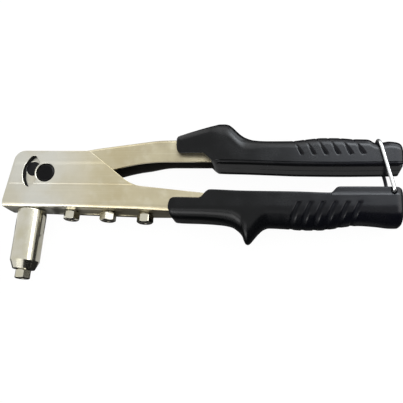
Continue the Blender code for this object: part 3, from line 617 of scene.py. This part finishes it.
def makeLever():
    sizes = leverSizes
    under, over = leverPath()
    webX, end, throatX = sizes.webX, sizes.end, sizes.throat[0]
    roofLine = onLine(rounded(over)[::-1])

    def roof(x):
        if x >= webX:
            return roofLine(x)
        return sizes.earY + sizes.climb * ease(webX - x, 0.0, sizes.earRise)

    def farEdge(x, y):
        # the far cheek hangs a little deeper ahead of the grip
        if x < throatX or y > roof(x) - 2 * sizes.climb:
            return y
        sink = between(sizes.farDrop, -sizes.farRise, ease(x, *sizes.farTurn))
        return y - sink * ease(x, throatX, sizes.farFrom)
    unfold = unfolded(sizes, roof, -1)
    shoulder = evenly(webX, webX - sizes.earRise, 8)
    side = spaced([(x, roof(x) - sizes.climb) for x in shoulder] + rounded(under), sizes.step)
    outline = [unfold(*point) for point in side] + [unfold(x, farEdge(x, y), -1) for x, y in reversed(side)]
    lifterSpot = aroundFulcrum(lifter.radius, lifter.angle)
    holes = onCheeks(unfold, circle(*fulcrum, sizes.pinHole), circle(*lifterSpot, sizes.lifterHole))
    work = flatBlank(outline, holes, sizes)
    for i in range(1, math.ceil((end - webX) / sizes.step)):
        score(work, (webX + sizes.step * i, 0.0), (1.0, 0.0))
    # painted shade: the channel's inside and the far cheek's cut edge take the dark finish
    touch = sizes.touch
    for face in work.faces:
        middle = face.calc_center_median()
        if middle.x > webX:
            inner = all(vertex.co.z < touch - sizes.sheet for vertex in face.verts)
            farCut = middle.y < -sizes.half and middle.z < -touch and middle.x < end - sizes.endMargin
            face.material_index = 1 if inner or farCut else 0
    foldChannel(work, sizes, roof, -1)
    piece = addPiece(work, "lever_folded", "lever", [extras["paintedShade"]])
    # the ears get a ring of painted shadow where the window's edge shades them
    shadowRing = ((home.xy + fulcrum).to_3d(), sizes.soilFrom, sizes.earRadius)
    piece.data.materials[0] = platedFinish("nickelWithPaintedShadow", sizes.tone, sizes.fade, shadowRing)


def loft(rings, closed=False):
    # a skin over the rings, with its ends filled unless it closes on itself
    work = bmesh.new()
    rows = [[work.verts.new(point) for point in ring] for ring in rings]
    for row, after in zip(rows, rows[1:] + rows[:1] if closed else rows[1:]):
        for i in range(len(row)):
            j = (i + 1) % len(row)
            work.faces.new((row[i], row[j], after[j], after[i]))
    if not closed:
        work.faces.new(rows[0])
        work.faces.new(rows[-1])
    return work


def turned(profile, count=96, cut=None):
    # a closed profile of (radius, height) turned about Z
    rings = []
    for turn in evenly(0.0, math.tau, count)[:-1]:
        most = cut(turn) if cut else math.inf
        ring = [(min(radius, most), height) for radius, height in profile]
        rings.append([(reach * math.cos(turn), reach * math.sin(turn), height) for reach, height in ring])
    work = loft(rings, closed=True)
    bmesh.ops.remove_doubles(work, verts=work.verts, dist=weld)
    return work


def upright(x, y, slope):
    # from local Z to the barrel's direction
    lean = Matrix.Rotation(-math.radians(slope), 4, "Z")
    return Matrix.Translation((x, y, 0.0)) @ lean @ Matrix.Rotation(-math.pi / 2, 4, "X")


alongBarrel = upright(0.0, 0.0, frameSizes.slope)
barrelSizes = Sizes(
    bore=7.8, radius=10.0, length=36.2, tip=41.8, tipRadius=7.5, floor=34.5, roof=2.5, spigot=7.3,
    spigotBore=5.9, spigotTop=5.8, nose=4.15, edge=0.3)


def makeBarrel():
    sizes = barrelSizes
    edge, bore, nose, radius = sizes.edge, sizes.bore, sizes.nose, sizes.radius
    work = turned(rounded([
        (sizes.spigotBore, sizes.spigotTop, edge), (sizes.spigotBore, -sizes.roof, 0),
        (bore, -sizes.roof, 0), (bore, -sizes.floor, 0), (nose, -sizes.floor, 0),
        (nose, -sizes.tip, 0), (sizes.tipRadius, -sizes.tip, edge),
        (radius, -sizes.length, 2 * edge), (radius, -clearance, 2 * edge),
        (sizes.spigot, -clearance, 0), (sizes.spigot, sizes.spigotTop, edge),
    ], 4), 128)
    addPiece(moved(work, alongBarrel), "barrel_turned", "barrel")


nutSizes = Sizes(
    radius=8.2, bore=7.45, low=2.8, height=2.6, edge=0.3, flutes=12, depth=0.35, fluteFrom=0.75)


def makeRingNut():
    sizes = nutSizes
    edge, bore, radius = sizes.edge, sizes.bore, sizes.radius
    low, top = sizes.low, sizes.low + sizes.height

    def fluted(turn):
        wave = (1 + math.cos(turn * sizes.flutes)) / 2
        return radius - sizes.depth * ease(wave, sizes.fluteFrom, 1.0)
    profile = [(bore, top, edge), (bore, low, 0), (radius, low, edge), (radius, top, edge)]
    work = turned(rounded(profile, 3), 144, fluted)
    addPiece(moved(work, alongBarrel), "ring_nut_fluted", "barrel_ring_nut")


noseSizes = Sizes(
    flats=10.0, length=6.17, face=4.35, cone=30.0, shank=3.85, shankLength=7.0, bore=1.7, edge=0.3,
    turn=29.0, crease=20.0)


def makeNosepiece(name, node, seat, degrees, matrix):
    sizes = noseSizes
    bore, edge, face, shank = sizes.bore, sizes.edge, sizes.face, sizes.shank
    corner = sizes.flats / math.sqrt(3)
    top = seat - clearance
    low = top - sizes.length
    head = seat + sizes.shankLength
    slant = (corner - face) * math.tan(math.radians(sizes.cone))
    lower = list(zip(evenly(face, corner, 8), evenly(low, low + slant, 8)))
    upper = [(radius, top - (height - low)) for radius, height in reversed(lower)]

    def hexagon(turn):
        fromFlat = (turn - math.radians(degrees) + math.pi / 6) % (math.pi / 3) - math.pi / 6
        return sizes.flats / 2 / math.cos(fromFlat)
    work = turned([
        (bore, head), (bore, low + edge), (bore + edge, low), *lower, *upper,
        (shank, top), (shank, head - edge), (shank - edge, head),
    ], cut=hexagon)
    addPiece(moved(work, matrix), name, node, crease=sizes.crease)


def makeNosepieces():
    makeNosepiece("nosepiece_hex", "nosepiece", -barrelSizes.tip, noseSizes.turn, alongBarrel)
    for i, degrees in enumerate(spares.turns):
        x = spareX(i)
        slope = frameSizes.slope if x < frameSizes.level else 0.0
        matrix = upright(x, webY(x) + nearLift(x) / 2, slope)
        makeNosepiece(f"spare_hex_{i + 1}", f"spare_nosepiece_{i + 1}", 0.0, degrees, matrix)


pinSizes = Sizes(
    face=11.2, inner=8.65, head=6.5, shank=4.0, fit=0.15, edge=0.4, fineEdge=0.2, softEdge=0.3, slope=1.25,
    slopeDrop=0.8, slopeEdge=0.15, lifterEnd=8.15, lifterWide=5.0, lifterWaist=3.5, lifterShoulder=5.7)


def makePin(name, node, spot, profile):
    work = turned(rounded(profile, 4))
    return addPiece(moved(work, Matrix.Translation((*spot, 0.0))), name, node)


def makePins():
    sizes = pinSizes
    face, edge, head, shank = sizes.face, sizes.edge, sizes.head, sizes.shank
    fine, soft, inner = sizes.fineEdge, sizes.softEdge, sizes.inner
    makePin("fulcrum_pin_turned", "fulcrum_pin", fulcrum, [
        (0.0, face, 0), (head - sizes.slope, face, edge), (head, face - sizes.slopeDrop, sizes.slopeEdge),
        (head, inner, fine), (shank, inner, 0), (shank, -face + edge, edge), (0.0, -face + edge, 0)])
    bore = shank + sizes.fit
    makePin("fulcrum_nut_turned", "fulcrum_nut", fulcrum, [
        (bore, -inner, 0), (bore, -face, soft), (head, -face, edge), (head, -inner, fine)])
    end, wide, waist, shoulder = (sizes["lifter" + key] for key in ("End", "Wide", "Waist", "Shoulder"))
    spot = aroundFulcrum(lifter.radius, lifter.angle)
    piece = makePin("lifter_pin_turned", "lifter_pin", spot, [
        (0.0, end, 0), (0.0, -end, 0), (wide, -end, edge), (wide, -shoulder, fine), (waist, -shoulder, soft),
        (waist, shoulder, soft), (wide, shoulder, fine), (wide, end, edge)])
    piece.data.materials[0] = extras["rubbed"]


def acrossWidth(outline, reach):
    # a cutter drawn straight across the width
    return loft([[(x, y, z) for x, y in outline] for z in (-reach, reach)])


def carved(work, cutters):
    # the piece with each cutter taken out of it
    holder = newObject("carved", asMesh(work, "carved"))
    tools = []
    for cutter in cutters:
        tool = newObject("cutter", asMesh(cutter, "cutter"))
        cut = holder.modifiers.new("cut", "BOOLEAN")
        cut.object = tool
        cut.operation = "DIFFERENCE"
        cut.solver = "EXACT"
        tools.append(tool)
    result = meshOf(holder)
    for tool in tools:
        bpy.data.objects.remove(tool)
    return result


gripSteps = Sizes(coarse=0.9, fine=0.3, ends=4.0)
scoopShape = Sizes(lip=0.42, lipEnd=0.15, dropEnd=0.24, riseStart=0.36)


def stationsOf(sizes):
    # places along X, close together at the ends and across the grooves, and the grip's outline there
    start = sizes.start
    end = start + sizes.round[-1][0]
    places = [start]
    while places[-1] < end:
        x = places[-1]
        near = min(x - start, end - x) < gripSteps.ends or sizes.fine[0] < x < sizes.fine[1]
        places.append(min(end, x + gripSteps["fine" if near else "coarse"]))
    heights = [throughKnots(sizes[key]) for key in ("flat", "round", "taper")]
    return [(x, *(height(x - start) for height in heights)) for x in places]


def mirrored(x, near):
    # a whole section from its near half
    return [(x, y, z) for y, z in near] + [(x, y, -z) for y, z in reversed(near[1:-1])]


def pressed(ring, depthAt):
    # moves each point of a section inwards by the depth asked for there
    sunk = []
    for i, (x, y, z) in enumerate(ring):
        depth = depthAt(x, y, z)
        if depth:
            before, after = ring[i - 1], ring[(i + 1) % len(ring)]
            along = Vector((after[1] - before[1], after[2] - before[2]))
            out = Vector((-along.y, along.x)).normalized()
            y, z = y - out.x * depth, z - out.y * depth
        sunk.append((x, y, z))
    return sunk


def scoop(share):
    # depth across a groove: a sloped lip that catches the light, a drop, then a slow rise
    shape = scoopShape
    if not 0.0 < share < 1.0:
        return 0.0
    lip = shape.lip * min(1.0, share / shape.lipEnd)
    drop = (1 - shape.lip) * ease(share, shape.lipEnd, shape.dropEnd)
    return (lip + drop) * (1 - ease(share, shape.riseStart, 1.0))


def grooveDepth(grooves, x, away):
    # depth of the slanting finger grooves at x, that far from the line where they begin
    lead = x - grooves.first + grooves.lean * away - grooves.curl * away * away
    index = math.floor(lead / grooves.pitch)
    if away < 0 or not 0 <= index < grooves.count:
        return 0.0
    share = ease(away, *grooves.fade)
    width = between(grooves.width, grooves.farWidth, share) * (grooves.narrow + grooves.widen * index)
    depth = between(grooves.depth, grooves.farDepth, share) * ease(away, 0.0, grooves.ramp)
    return depth * scoop((lead - index * grooves.pitch) / width)


def shadeRecesses(work, isDeep):
    for face in work.faces:
        if isDeep(*face.calc_center_median()):
            face.material_index = 1


upperSizes = Sizes(
    start=102.8, half=13.3, fillet=7.0, share=0.45, edge=0.8, edgeShare=0.2,
    flat=(
        (0.0, 43.1), (0.6, 40.4), (1.9, 38.3), (4.0, 37.2), (18.9, 36.9), (20.4, 35.9), (25.6, 31.2),
        (27.2, 30.4), (45.4, 29.7), (60.4, 29.0), (83.4, 28.0), (117.4, 27.5), (146.8, 27.6), (147.8, 27.9),
        (148.0, 28.5)),
    round=(
        (0.0, 49.8), (0.4, 51.0), (1.6, 51.9), (3.9, 52.8), (11.9, 55.1), (25.4, 58.6), (29.4, 59.5),
        (32.4, 59.5), (35.2, 58.9), (37.4, 57.4), (40.9, 54.0), (43.9, 51.2), (47.4, 49.0), (52.4, 47.3),
        (61.2, 46.45), (77.4, 46.25), (87.4, 47.2), (97.4, 48.0), (107.4, 47.8), (117.4, 46.9),
        (126.1, 46.5), (127.7, 46.0), (130.6, 44.2), (132.8, 43.8), (134.6, 44.0), (137.0, 44.5),
        (139.4, 44.85), (143.4, 44.4), (146.0, 43.7), (147.4, 42.2), (148.0, 39.4)),
    taper=(
        (0.0, 3.0), (1.0, 2.1), (3.4, 1.5), (37.4, 0.0), (142.4, 0.0), (146.2, 0.4), (147.5, 1.0),
        (148.0, 1.9)),
    # the thumb hump is rounded more than the rest
    fullFront=(22.0, 33.0), fullRear=(44.0, 62.0), fullFillet=4.0, fullShare=0.1,
    # the sleeve's lip: a channel under it and a fine line above it, both behind the front step
    behind=(27.0, 31.0), seam=0.35, seamFlat=0.15, seamEnd=0.4,
    channelIn=1.0, channelWide=4.0, channelDeep=1.4, channelSlope=0.3,
    lineY=1.75, lineWide=0.6, lineDeep=0.5, lineSlope=0.12, lineMargin=0.1,
    rebate=(185.0, 212.0), rebateWide=0.8,
    fine=(178.0, 234.0),
    grooves=Sizes(
        count=6, first=186.1, pitch=7.66, lean=0.46, curl=0.0, startY=34.3, ramp=0.7,
        fade=(1.0, 7.7), width=4.0, farWidth=2.6, depth=0.9, farDepth=0.3, narrow=0.68,
        widen=0.064, darkFrom=0.54),
)


def makeUpperGrip():
    sizes = upperSizes
    start, lineY = sizes.start, sizes.lineY
    flatAt = throughKnots(sizes.flat)
    grooves = sizes.grooves

    def grooveAt(x, y, z):
        return grooveDepth(grooves, x, y - grooves.startY)

    def lineLow(x):
        # the fine line along the side widens to a rebate towards the rear
        return lineY - sizes.lineWide - sizes.rebateWide * ease(x, *sizes.rebate)

    def isDeep(x, y, z):
        inward, margin = sizes.half - abs(z), sizes.lineMargin
        inLine = lineLow(x) < y - flatAt(x - start) < lineY and -margin < inward < sizes.lineDeep + margin
        return inLine and x > start + sizes.behind[1] or grooveAt(x, y, z) > grooves.darkFrom

    rings = []
    for x, flat, top, taper in stationsOf(sizes):
        back = x - start
        half = sizes.half - taper
        fuller = ease(back, *sizes.fullFront) * (1 - ease(back, *sizes.fullRear))
        share = sizes.share + sizes.fullShare * fuller
        fillet = min(sizes.fillet + sizes.fullFillet * fuller, share * (top - flat))
        reach = min(sizes.fillet, fillet)
        shoulder = top - fillet
        edge = min(sizes.edge, sizes.edgeShare * (top - flat))
        behind = ease(back, *sizes.behind)
        seam, slope, notch = flat + sizes.seam, sizes.channelSlope, sizes.lineSlope
        outer = half - sizes.channelIn
        inner = outer - sizes.channelWide
        roof = flat + sizes.channelDeep * behind
        near = [(seam, 0.0), (seam, sizes.seamFlat), (flat, sizes.seamEnd)]
        near += [(flat, z) for z in evenly(0.0, inner, 4)[1:]]
        near += [(roof, inner + slope), (roof, outer - slope), (flat, outer)]
        near += [(flat + edge - edge * cos, half - edge + edge * sin) for sin, cos in quarter(5)]
        low, high = flat + max(edge, lineLow(x)), flat + lineY
        sunk = half - sizes.lineDeep * behind
        near += [(low, half), (low + notch, sunk), (high - notch, sunk), (high, half)]
        near += [(y, half) for y in evenly(high, shoulder, 20)[1:-1]]
        near += [(shoulder + fillet * sin, half - reach + reach * cos) for sin, cos in quarter(20)]
        near += [(top, z) for z in evenly(half - reach, 0.0, 4)[1:]]
        rings.append(pressed(mirrored(x, near), grooveAt))
    under, over = leverPath(clearance)
    pocket = acrossWidth(rounded([*under, *over]), leverSizes.half + clearance)
    work = carved(loft(rings), [pocket])
    shadeRecesses(work, isDeep)
    addPiece(work, "upper_grip_moulded", "upper_grip", [extras["recessed"]])


lowerSizes = Sizes(
    start=99.8, half=13.3, shoulder=0.6, least=1.0, edge=0.9, edgeShare=0.5,
    flat=(
        (0.0, 1.1), (0.6, 4.0), (1.8, 5.6), (3.8, 6.2), (20.4, 5.9), (21.6, 6.4), (25.6, 10.6), (27.4, 11.4),
        (47.4, 10.5), (85.4, 9.7), (104.6, 9.0), (105.8, 9.5), (109.6, 13.0), (111.0, 13.3), (140.4, 13.1),
        (146.4, 12.9), (148.8, 11.6), (149.8, 8.6)),
    round=(
        (0.0, -1.9), (0.8, -4.9), (2.6, -6.8), (6.4, -7.3), (22.4, -7.9), (34.4, -9.0), (40.4, -10.4),
        (45.4, -13.6), (48.4, -17.0), (49.8, -20.6), (51.0, -22.4), (52.3, -22.8), (53.6, -22.1),
        (55.9, -19.3), (58.9, -15.6), (62.2, -12.6), (65.9, -11.3), (76.4, -11.8), (88.4, -12.6),
        (98.4, -12.5), (104.4, -11.8), (116.0, -9.4), (123.4, -8.6), (133.4, -9.4), (143.0, -10.7),
        (146.4, -10.7), (148.8, -9.3), (149.8, -6.0)),
    taper=((0.0, 0.9), (2.4, 0.2), (6.4, 0.0), (144.4, 0.0), (148.0, 0.7), (149.8, 2.8)),
    # a shallow step along the raised rear
    lipX=205.0, lipLead=4.0, lipY=8.2, lipZ=9.0, lipDepth=0.3, lipTop=0.05, lipFoot=0.65,
    lipLeast=0.4, fine=(144.0, 230.0),
    grooves=Sizes(
        count=6, first=183.7, pitch=7.54, lean=0.56, curl=0.013, startY=3.1, ramp=0.6,
        fade=(7.0, 14.0), width=4.2, farWidth=4.2, depth=0.8, farDepth=0.4, narrow=1.0,
        widen=0.0, darkFrom=0.2),
)
bailSizes = Sizes(
    x=243.8, inset=3.2, wire=2.36, lean=8.2, legZ=14.78, corner=8.0, footCorner=2.0, foot=6.0, sink=2.3,
    sinkDepth=0.9, farBow=2.4, step=2.0)


def bailPivotY():
    return throughKnots(lowerSizes.flat)(bailSizes.x - lowerSizes.start) - bailSizes.inset


def framePocket():
    sizes = frameSizes
    neckX, neckY = sizes.neck
    footX, footY = sizes.foot
    top, end, level = sizes.handleY + clearance, sizes.end + clearance, sizes.level
    return acrossWidth([
        (footX, footY + clearance), (neckX, neckY + clearance), (neckX + sizes.fall, top), (end, top),
        (end, webY(end) - clearance), (level, webY(level) - clearance),
    ], sizes.half + clearance)


def bailHole():
    outer, sink, depth = lowerSizes.half, bailSizes.sink, bailSizes.sinkDepth
    bore = bailSizes.wire / 2 + clearance
    hole = turned([
        (0.0, 2 * outer), (sink, 2 * outer), (sink, outer), (bore, outer - depth),
        (bore, depth - outer), (sink, -outer), (sink, -2 * outer), (0.0, -2 * outer)], 48)
    return moved(hole, Matrix.Translation((bailSizes.x, bailPivotY(), 0.0)))


def makeLowerGrip():
    sizes = lowerSizes
    lipY = sizes.lipY
    grooves = sizes.grooves

    def grooveAt(x, y, z):
        if x > sizes.lipX and y > lipY and abs(z) > sizes.lipZ:
            return sizes.lipDepth
        return grooveDepth(grooves, x, grooves.startY - y)

    rings = []
    for x, flat, low, taper in stationsOf(sizes):
        half = sizes.half - taper
        shoulder = max(min(sizes.shoulder, flat - sizes.least), low + sizes.least)
        deep = shoulder - low
        corner = min(half - sizes.least, deep)
        edge = min(sizes.edge, sizes.edgeShare * (flat - shoulder))
        top = flat - edge
        near = [(flat, z) for z in evenly(0.0, half - edge, 5)[:-1]]
        near += [(top + edge * cos, half - edge + edge * sin) for sin, cos in quarter(5)]
        if x > sizes.lipX - sizes.lipLead and top > lipY + sizes.lipLeast:
            foot = lipY - sizes.lipFoot
            near += [(y, half) for y in (*evenly(top, lipY, 5)[1:4], lipY + sizes.lipTop, foot)]
            near += [(y, half) for y in evenly(foot, shoulder, 12)[1:-1]]
        else:
            near += [(y, half) for y in evenly(top, shoulder, 17)[1:-1]]
        near += [(shoulder - deep * sin, half - corner + corner * cos) for sin, cos in quarter(24)]
        near += [(low, z) for z in evenly(half - corner, 0.0, 3)[1:]]
        rings.append(pressed(mirrored(x, near)[::-1], grooveAt))
    work = carved(loft(rings), [framePocket(), bailHole()])
    shadeRecesses(work, lambda x, y, z: y < grooves.startY and grooveAt(x, y, z) > grooves.darkFrom)
    addPiece(work, "lower_grip_moulded", "lower_grip", [extras["recessed"]])


def makeBail():
    sizes = bailSizes
    foot = Vector((sizes.x, bailPivotY()))
    barX = sizes.x - sizes.lean
    barY = throughKnots(upperSizes.round)(barX - upperSizes.start) + clearance + sizes.wire / 2
    leg = Vector((barX, barY)) - foot
    reach, wide = leg.length, sizes.legZ
    inner = wide - sizes.foot
    flatRoute = rounded([
        (0.0, inner, 0), (0.0, wide, sizes.footCorner), (reach, wide, sizes.corner),
        (reach, -wide, sizes.corner), (0.0, -wide, sizes.footCorner), (0.0, -inner, 0),
    ])
    route = []
    for along, z in spaced(flatRoute, sizes.step):
        # the far leg is bowed a little towards the rear
        bow = sizes.farBow * math.sin(math.pi * along / reach) * max(0.0, -z / wide)
        x, y = foot + leg * (along / reach)
        route.append((x + bow, y, z))
    addPiece(wireWork(route, sizes.wire), "bail_wire", "bail")


coilSizes = Sizes(radius=3.55, wire=0.9, turns=5, steps=24, low=-7.389, high=5.7, push=3.0)


def makeJawSpring():
    sizes = coilSizes
    radius, wire, low, high = (sizes[key] for key in ("radius", "wire", "low", "high"))
    count = sizes.turns * sizes.steps
    route = []
    for i, height in enumerate(evenly(low + wire / 2, high - wire / 2, count)):
        turn = math.tau * i / sizes.steps
        route.append(alongBarrel @ Vector((radius * math.cos(turn), radius * math.sin(turn), height)))
    piece = addPiece(wireWork(route, wire), "jaw_spring_coil", "jaw_spring")
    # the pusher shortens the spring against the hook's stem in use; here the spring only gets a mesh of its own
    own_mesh(piece)


makeFrame()
makeLever()
makeBarrel()
makeRingNut()
makeNosepieces()
makePins()
makeUpperGrip()
makeLowerGrip()
makeBail()
makeJawSpring()


# these keep the frame's own shapes, and all but the spring have their edges broken
inside = ("jaw_case", "puller_hook", "jaw_front", "jaw_rear", "jaw_pusher", "return_spring")
brokenEdge = Sizes(width=0.25, segments=2, angle=40.0)
for name in inside:
    node = frame["nodes"][name]
    node.data.materials.clear()
    node.data.materials.append(finishes[slotOf[name]])
    if "spring" not in name:
        broken = node.modifiers.new("brokenEdge", "BEVEL")
        broken.width = brokenEdge.width * mm
        broken.segments = brokenEdge.segments
        broken.angle_limit = math.radians(brokenEdge.angle)
        node.modifiers.new("evenShading", "WEIGHTED_NORMAL").keep_sharp = True
print("inner pieces finished:", len(inside))


view = Sizes(place=(182.2, -99.9, 372.5), aim=(120.2, 6.6, 0.0), focal=580.3, pixels=403, sensor=36.0)


def makeCamera():
    spot = Vector(view.place)
    ahead = (Vector(view.aim) - spot).normalized()
    right = (Vector((1.0, 0.0, 0.0)) - ahead * ahead.x).normalized()
    up = right.cross(ahead)
    lens = bpy.data.cameras.new("camera")
    lens.sensor_width = view.sensor
    lens.lens = view.focal / view.pixels * view.sensor
    camera = newObject("camera", lens)
    turn = Matrix((right, up, -ahead)).transposed().to_4x4()
    camera.matrix_world = Matrix.Translation((spot + home) * mm) @ turn
    bpy.context.scene.camera = camera


white = (1.0, 1.0, 1.0)
cool = (0.90, 0.95, 1.0)
black = (0.0, 0.0, 0.0)
upwards = (0.0, 0.0, 1.0)
downwards = (0.0, 0.0, -1.0)
forwards = (0.0, -1.0, 0.0)
backwards = (0.0, 1.0, 0.0)
leftwards = (-1.0, 0.0, 0.0)
stage = Sizes(
    reach=3.0, floorTone=(0.85, 0.85, 0.85), floorClear=1.06, floorSeen=0.9, skyLit=0.5,
    middle=(0.0, 0.0, 0.015), cardHeight=0.0004)
# each lamp's place, width, height and radiance
lamps = {
    "rightBox": ((0.62, 0.17, 0.53), 0.55, 0.58, 1.6),
    "overhead": ((-0.1, 0.2, 1.1), 0.9, 0.7, 0.8),
    "frontStrip": ((-0.2, -0.9, 0.25), 1.2, 0.22, 2.0),
    "backStrip": ((-0.2, 0.9, 0.14), 1.4, 0.2, 2.0),
}
# what the metal and plastic mirror on the floor: x from and to, y from and to, and how bright
floorCards = {
    "leftWebShade": (-45, 10, -9.5, 0, 0.06), "webShade": (10, 60, -14, 8, 0.04),
    "handleShade": (60, 112, -9.5, 8, 0.13), "leftShade": (-60, 10, -40, -9.5, 0.55),
    "nearShade": (10, 52, -40, -14, 0.65), "farShade": (52, 330, -40, -9.5, 0.06),
    "frontShade": (-80, 480, -460, -40, 0.03), "gripShade": (112, 330, -9.5, 45, 0.25),
    "behindShade": (95, 330, 45, 250, 0.05),
}
# and around the tool: place, facing, width, height, how bright and, where not white, its tint
besideBarrel = (home.x * mm + 0.0135, home.y * mm - 0.010, 0.0083)
cards = {
    "rightFlag": ((0.36, 0.02, 0.05), (-0.46, -0.02, 0.0), 0.5, 0.1, 0.06),
    "rightCard": ((0.62, 0.05, 0.585), (-0.62, 0.0, -0.57), 0.8, 0.34, 5.0),
    "besideCard": (besideBarrel, leftwards, 0.014, 0.0165, 0.60),
    "frontFlag": ((0.40, -0.45, 0.3), backwards, 0.70, 0.6, 0.02),
    "gripFlag": ((0.015, -0.45, 0.3), backwards, 0.07, 0.6, 0.02),
    "frontCard": ((-0.61, -0.8, 0.575), backwards, 0.98, 0.45, 6.0),
    "frontTop": ((-0.61, -0.8, 1.475), backwards, 0.98, 0.85, 3.0),
    "backCard": ((-0.73, 0.8, 0.19), forwards, 0.94, 0.32, 2.3),
    "leverCard": ((-0.34, 0.8, 0.675), forwards, 0.16, 0.65, 3.5),
    "topRight": ((0.56, 0.50, 1.0), downwards, 0.70, 0.40, 5.2, cool),
    "backLeft": ((-0.025, 0.8, 0.80), forwards, 0.25, 1.20, 3.0),
    "shoulderCard": ((0.15, 0.8, 1.15), forwards, 0.10, 1.50, 8.0, cool),
    "backLow": ((0.45, 0.8, 0.325), forwards, 0.40, 0.55, 5.0, cool),
    "backRight": ((0.60, 0.8, 1.25), forwards, 0.80, 1.30, 16.0, cool),
}


def floorFinish():
    # nearly plain white to the camera and in reflections, a lit surface to everything else
    finish = Finish("paleFloor")
    glow = finish.node("Emission", {"Strength": stage.floorClear})
    lit = Signal(finish, finish.shader.outputs[0])
    mix = finish.node("MixShader", {0: finish.seen() * stage.floorSeen, 1: lit, 2: glow})
    finish.feed(finish.tree.nodes["Material Output"], {0: mix})
    return finish.give(Base_Color=stage.floorTone, Roughness=0.9, Specular_IOR_Level=0.0)


def cardFinish(name, level, tint):
    # glows in front and is black behind
    finish = Finish(name)
    back = finish.node("NewGeometry", {}, "Backfacing")
    return finish.give(
        Base_Color=black, Roughness=1.0, Specular_IOR_Level=0.0, Emission_Strength=level,
        Emission_Color=finish.blend(back, tint, black))


def addSheet(name, width, height, material):
    mesh = bpy.data.meshes.new(name)
    corners = ((-1, -1), (1, -1), (1, 1), (-1, 1))
    mesh.from_pydata([(x * width / 2, y * height / 2, 0.0) for x, y in corners], [], [(0, 1, 2, 3)])
    mesh.materials.append(material)
    return newObject(name, mesh)


def addCard(name, spot, facing, width, height, level, tint=white):
    # a card that only reflections see
    card = addSheet(name, width, height, cardFinish(name, level, tint))
    card.location = spot
    card.rotation_euler = Vector(facing).to_track_quat("Z", "Y").to_euler()
    for kind in ("camera", "diffuse", "shadow", "transmission", "volume_scatter"):
        setattr(card, "visible_" + kind, False)


def addLamp(name, spot, width, height, radiance):
    light = bpy.data.lights.new(name, "AREA")
    light.shape = "RECTANGLE"
    light.size, light.size_y = width, height
    light.energy = radiance * math.pi * width * height
    lamp = newObject(name, light)
    lamp.location = spot
    lamp.rotation_euler = (Vector(stage.middle) - Vector(spot)).to_track_quat("-Z", "Y").to_euler()
    lamp.visible_camera = False
    lamp.visible_glossy = False


def makeStage():
    floor = addSheet("floor", 2 * stage.reach, 2 * stage.reach, floorFinish())
    sky = Finish("studio", "worlds", "Background")
    dim = stage.skyLit
    bpy.context.scene.world = sky.give(Color=white, Strength=dim + sky.seen() * (1 - dim))
    bpy.context.scene.view_settings.view_transform = "Standard"
    for name, values in lamps.items():
        addLamp(name, *values)
    for name, (x0, x1, y0, y1, level) in floorCards.items():
        spot = (home + Vector((x0 + x1, y0 + y1, 0.0)) / 2) * mm
        spot.z = stage.cardHeight
        addCard(name, spot, upwards, (x1 - x0) * mm, (y1 - y0) * mm, level)
    for name, values in cards.items():
        addCard(name, *values)


makeCamera()
makeStage()
bpy.context.view_layer.update()
print("stage set")
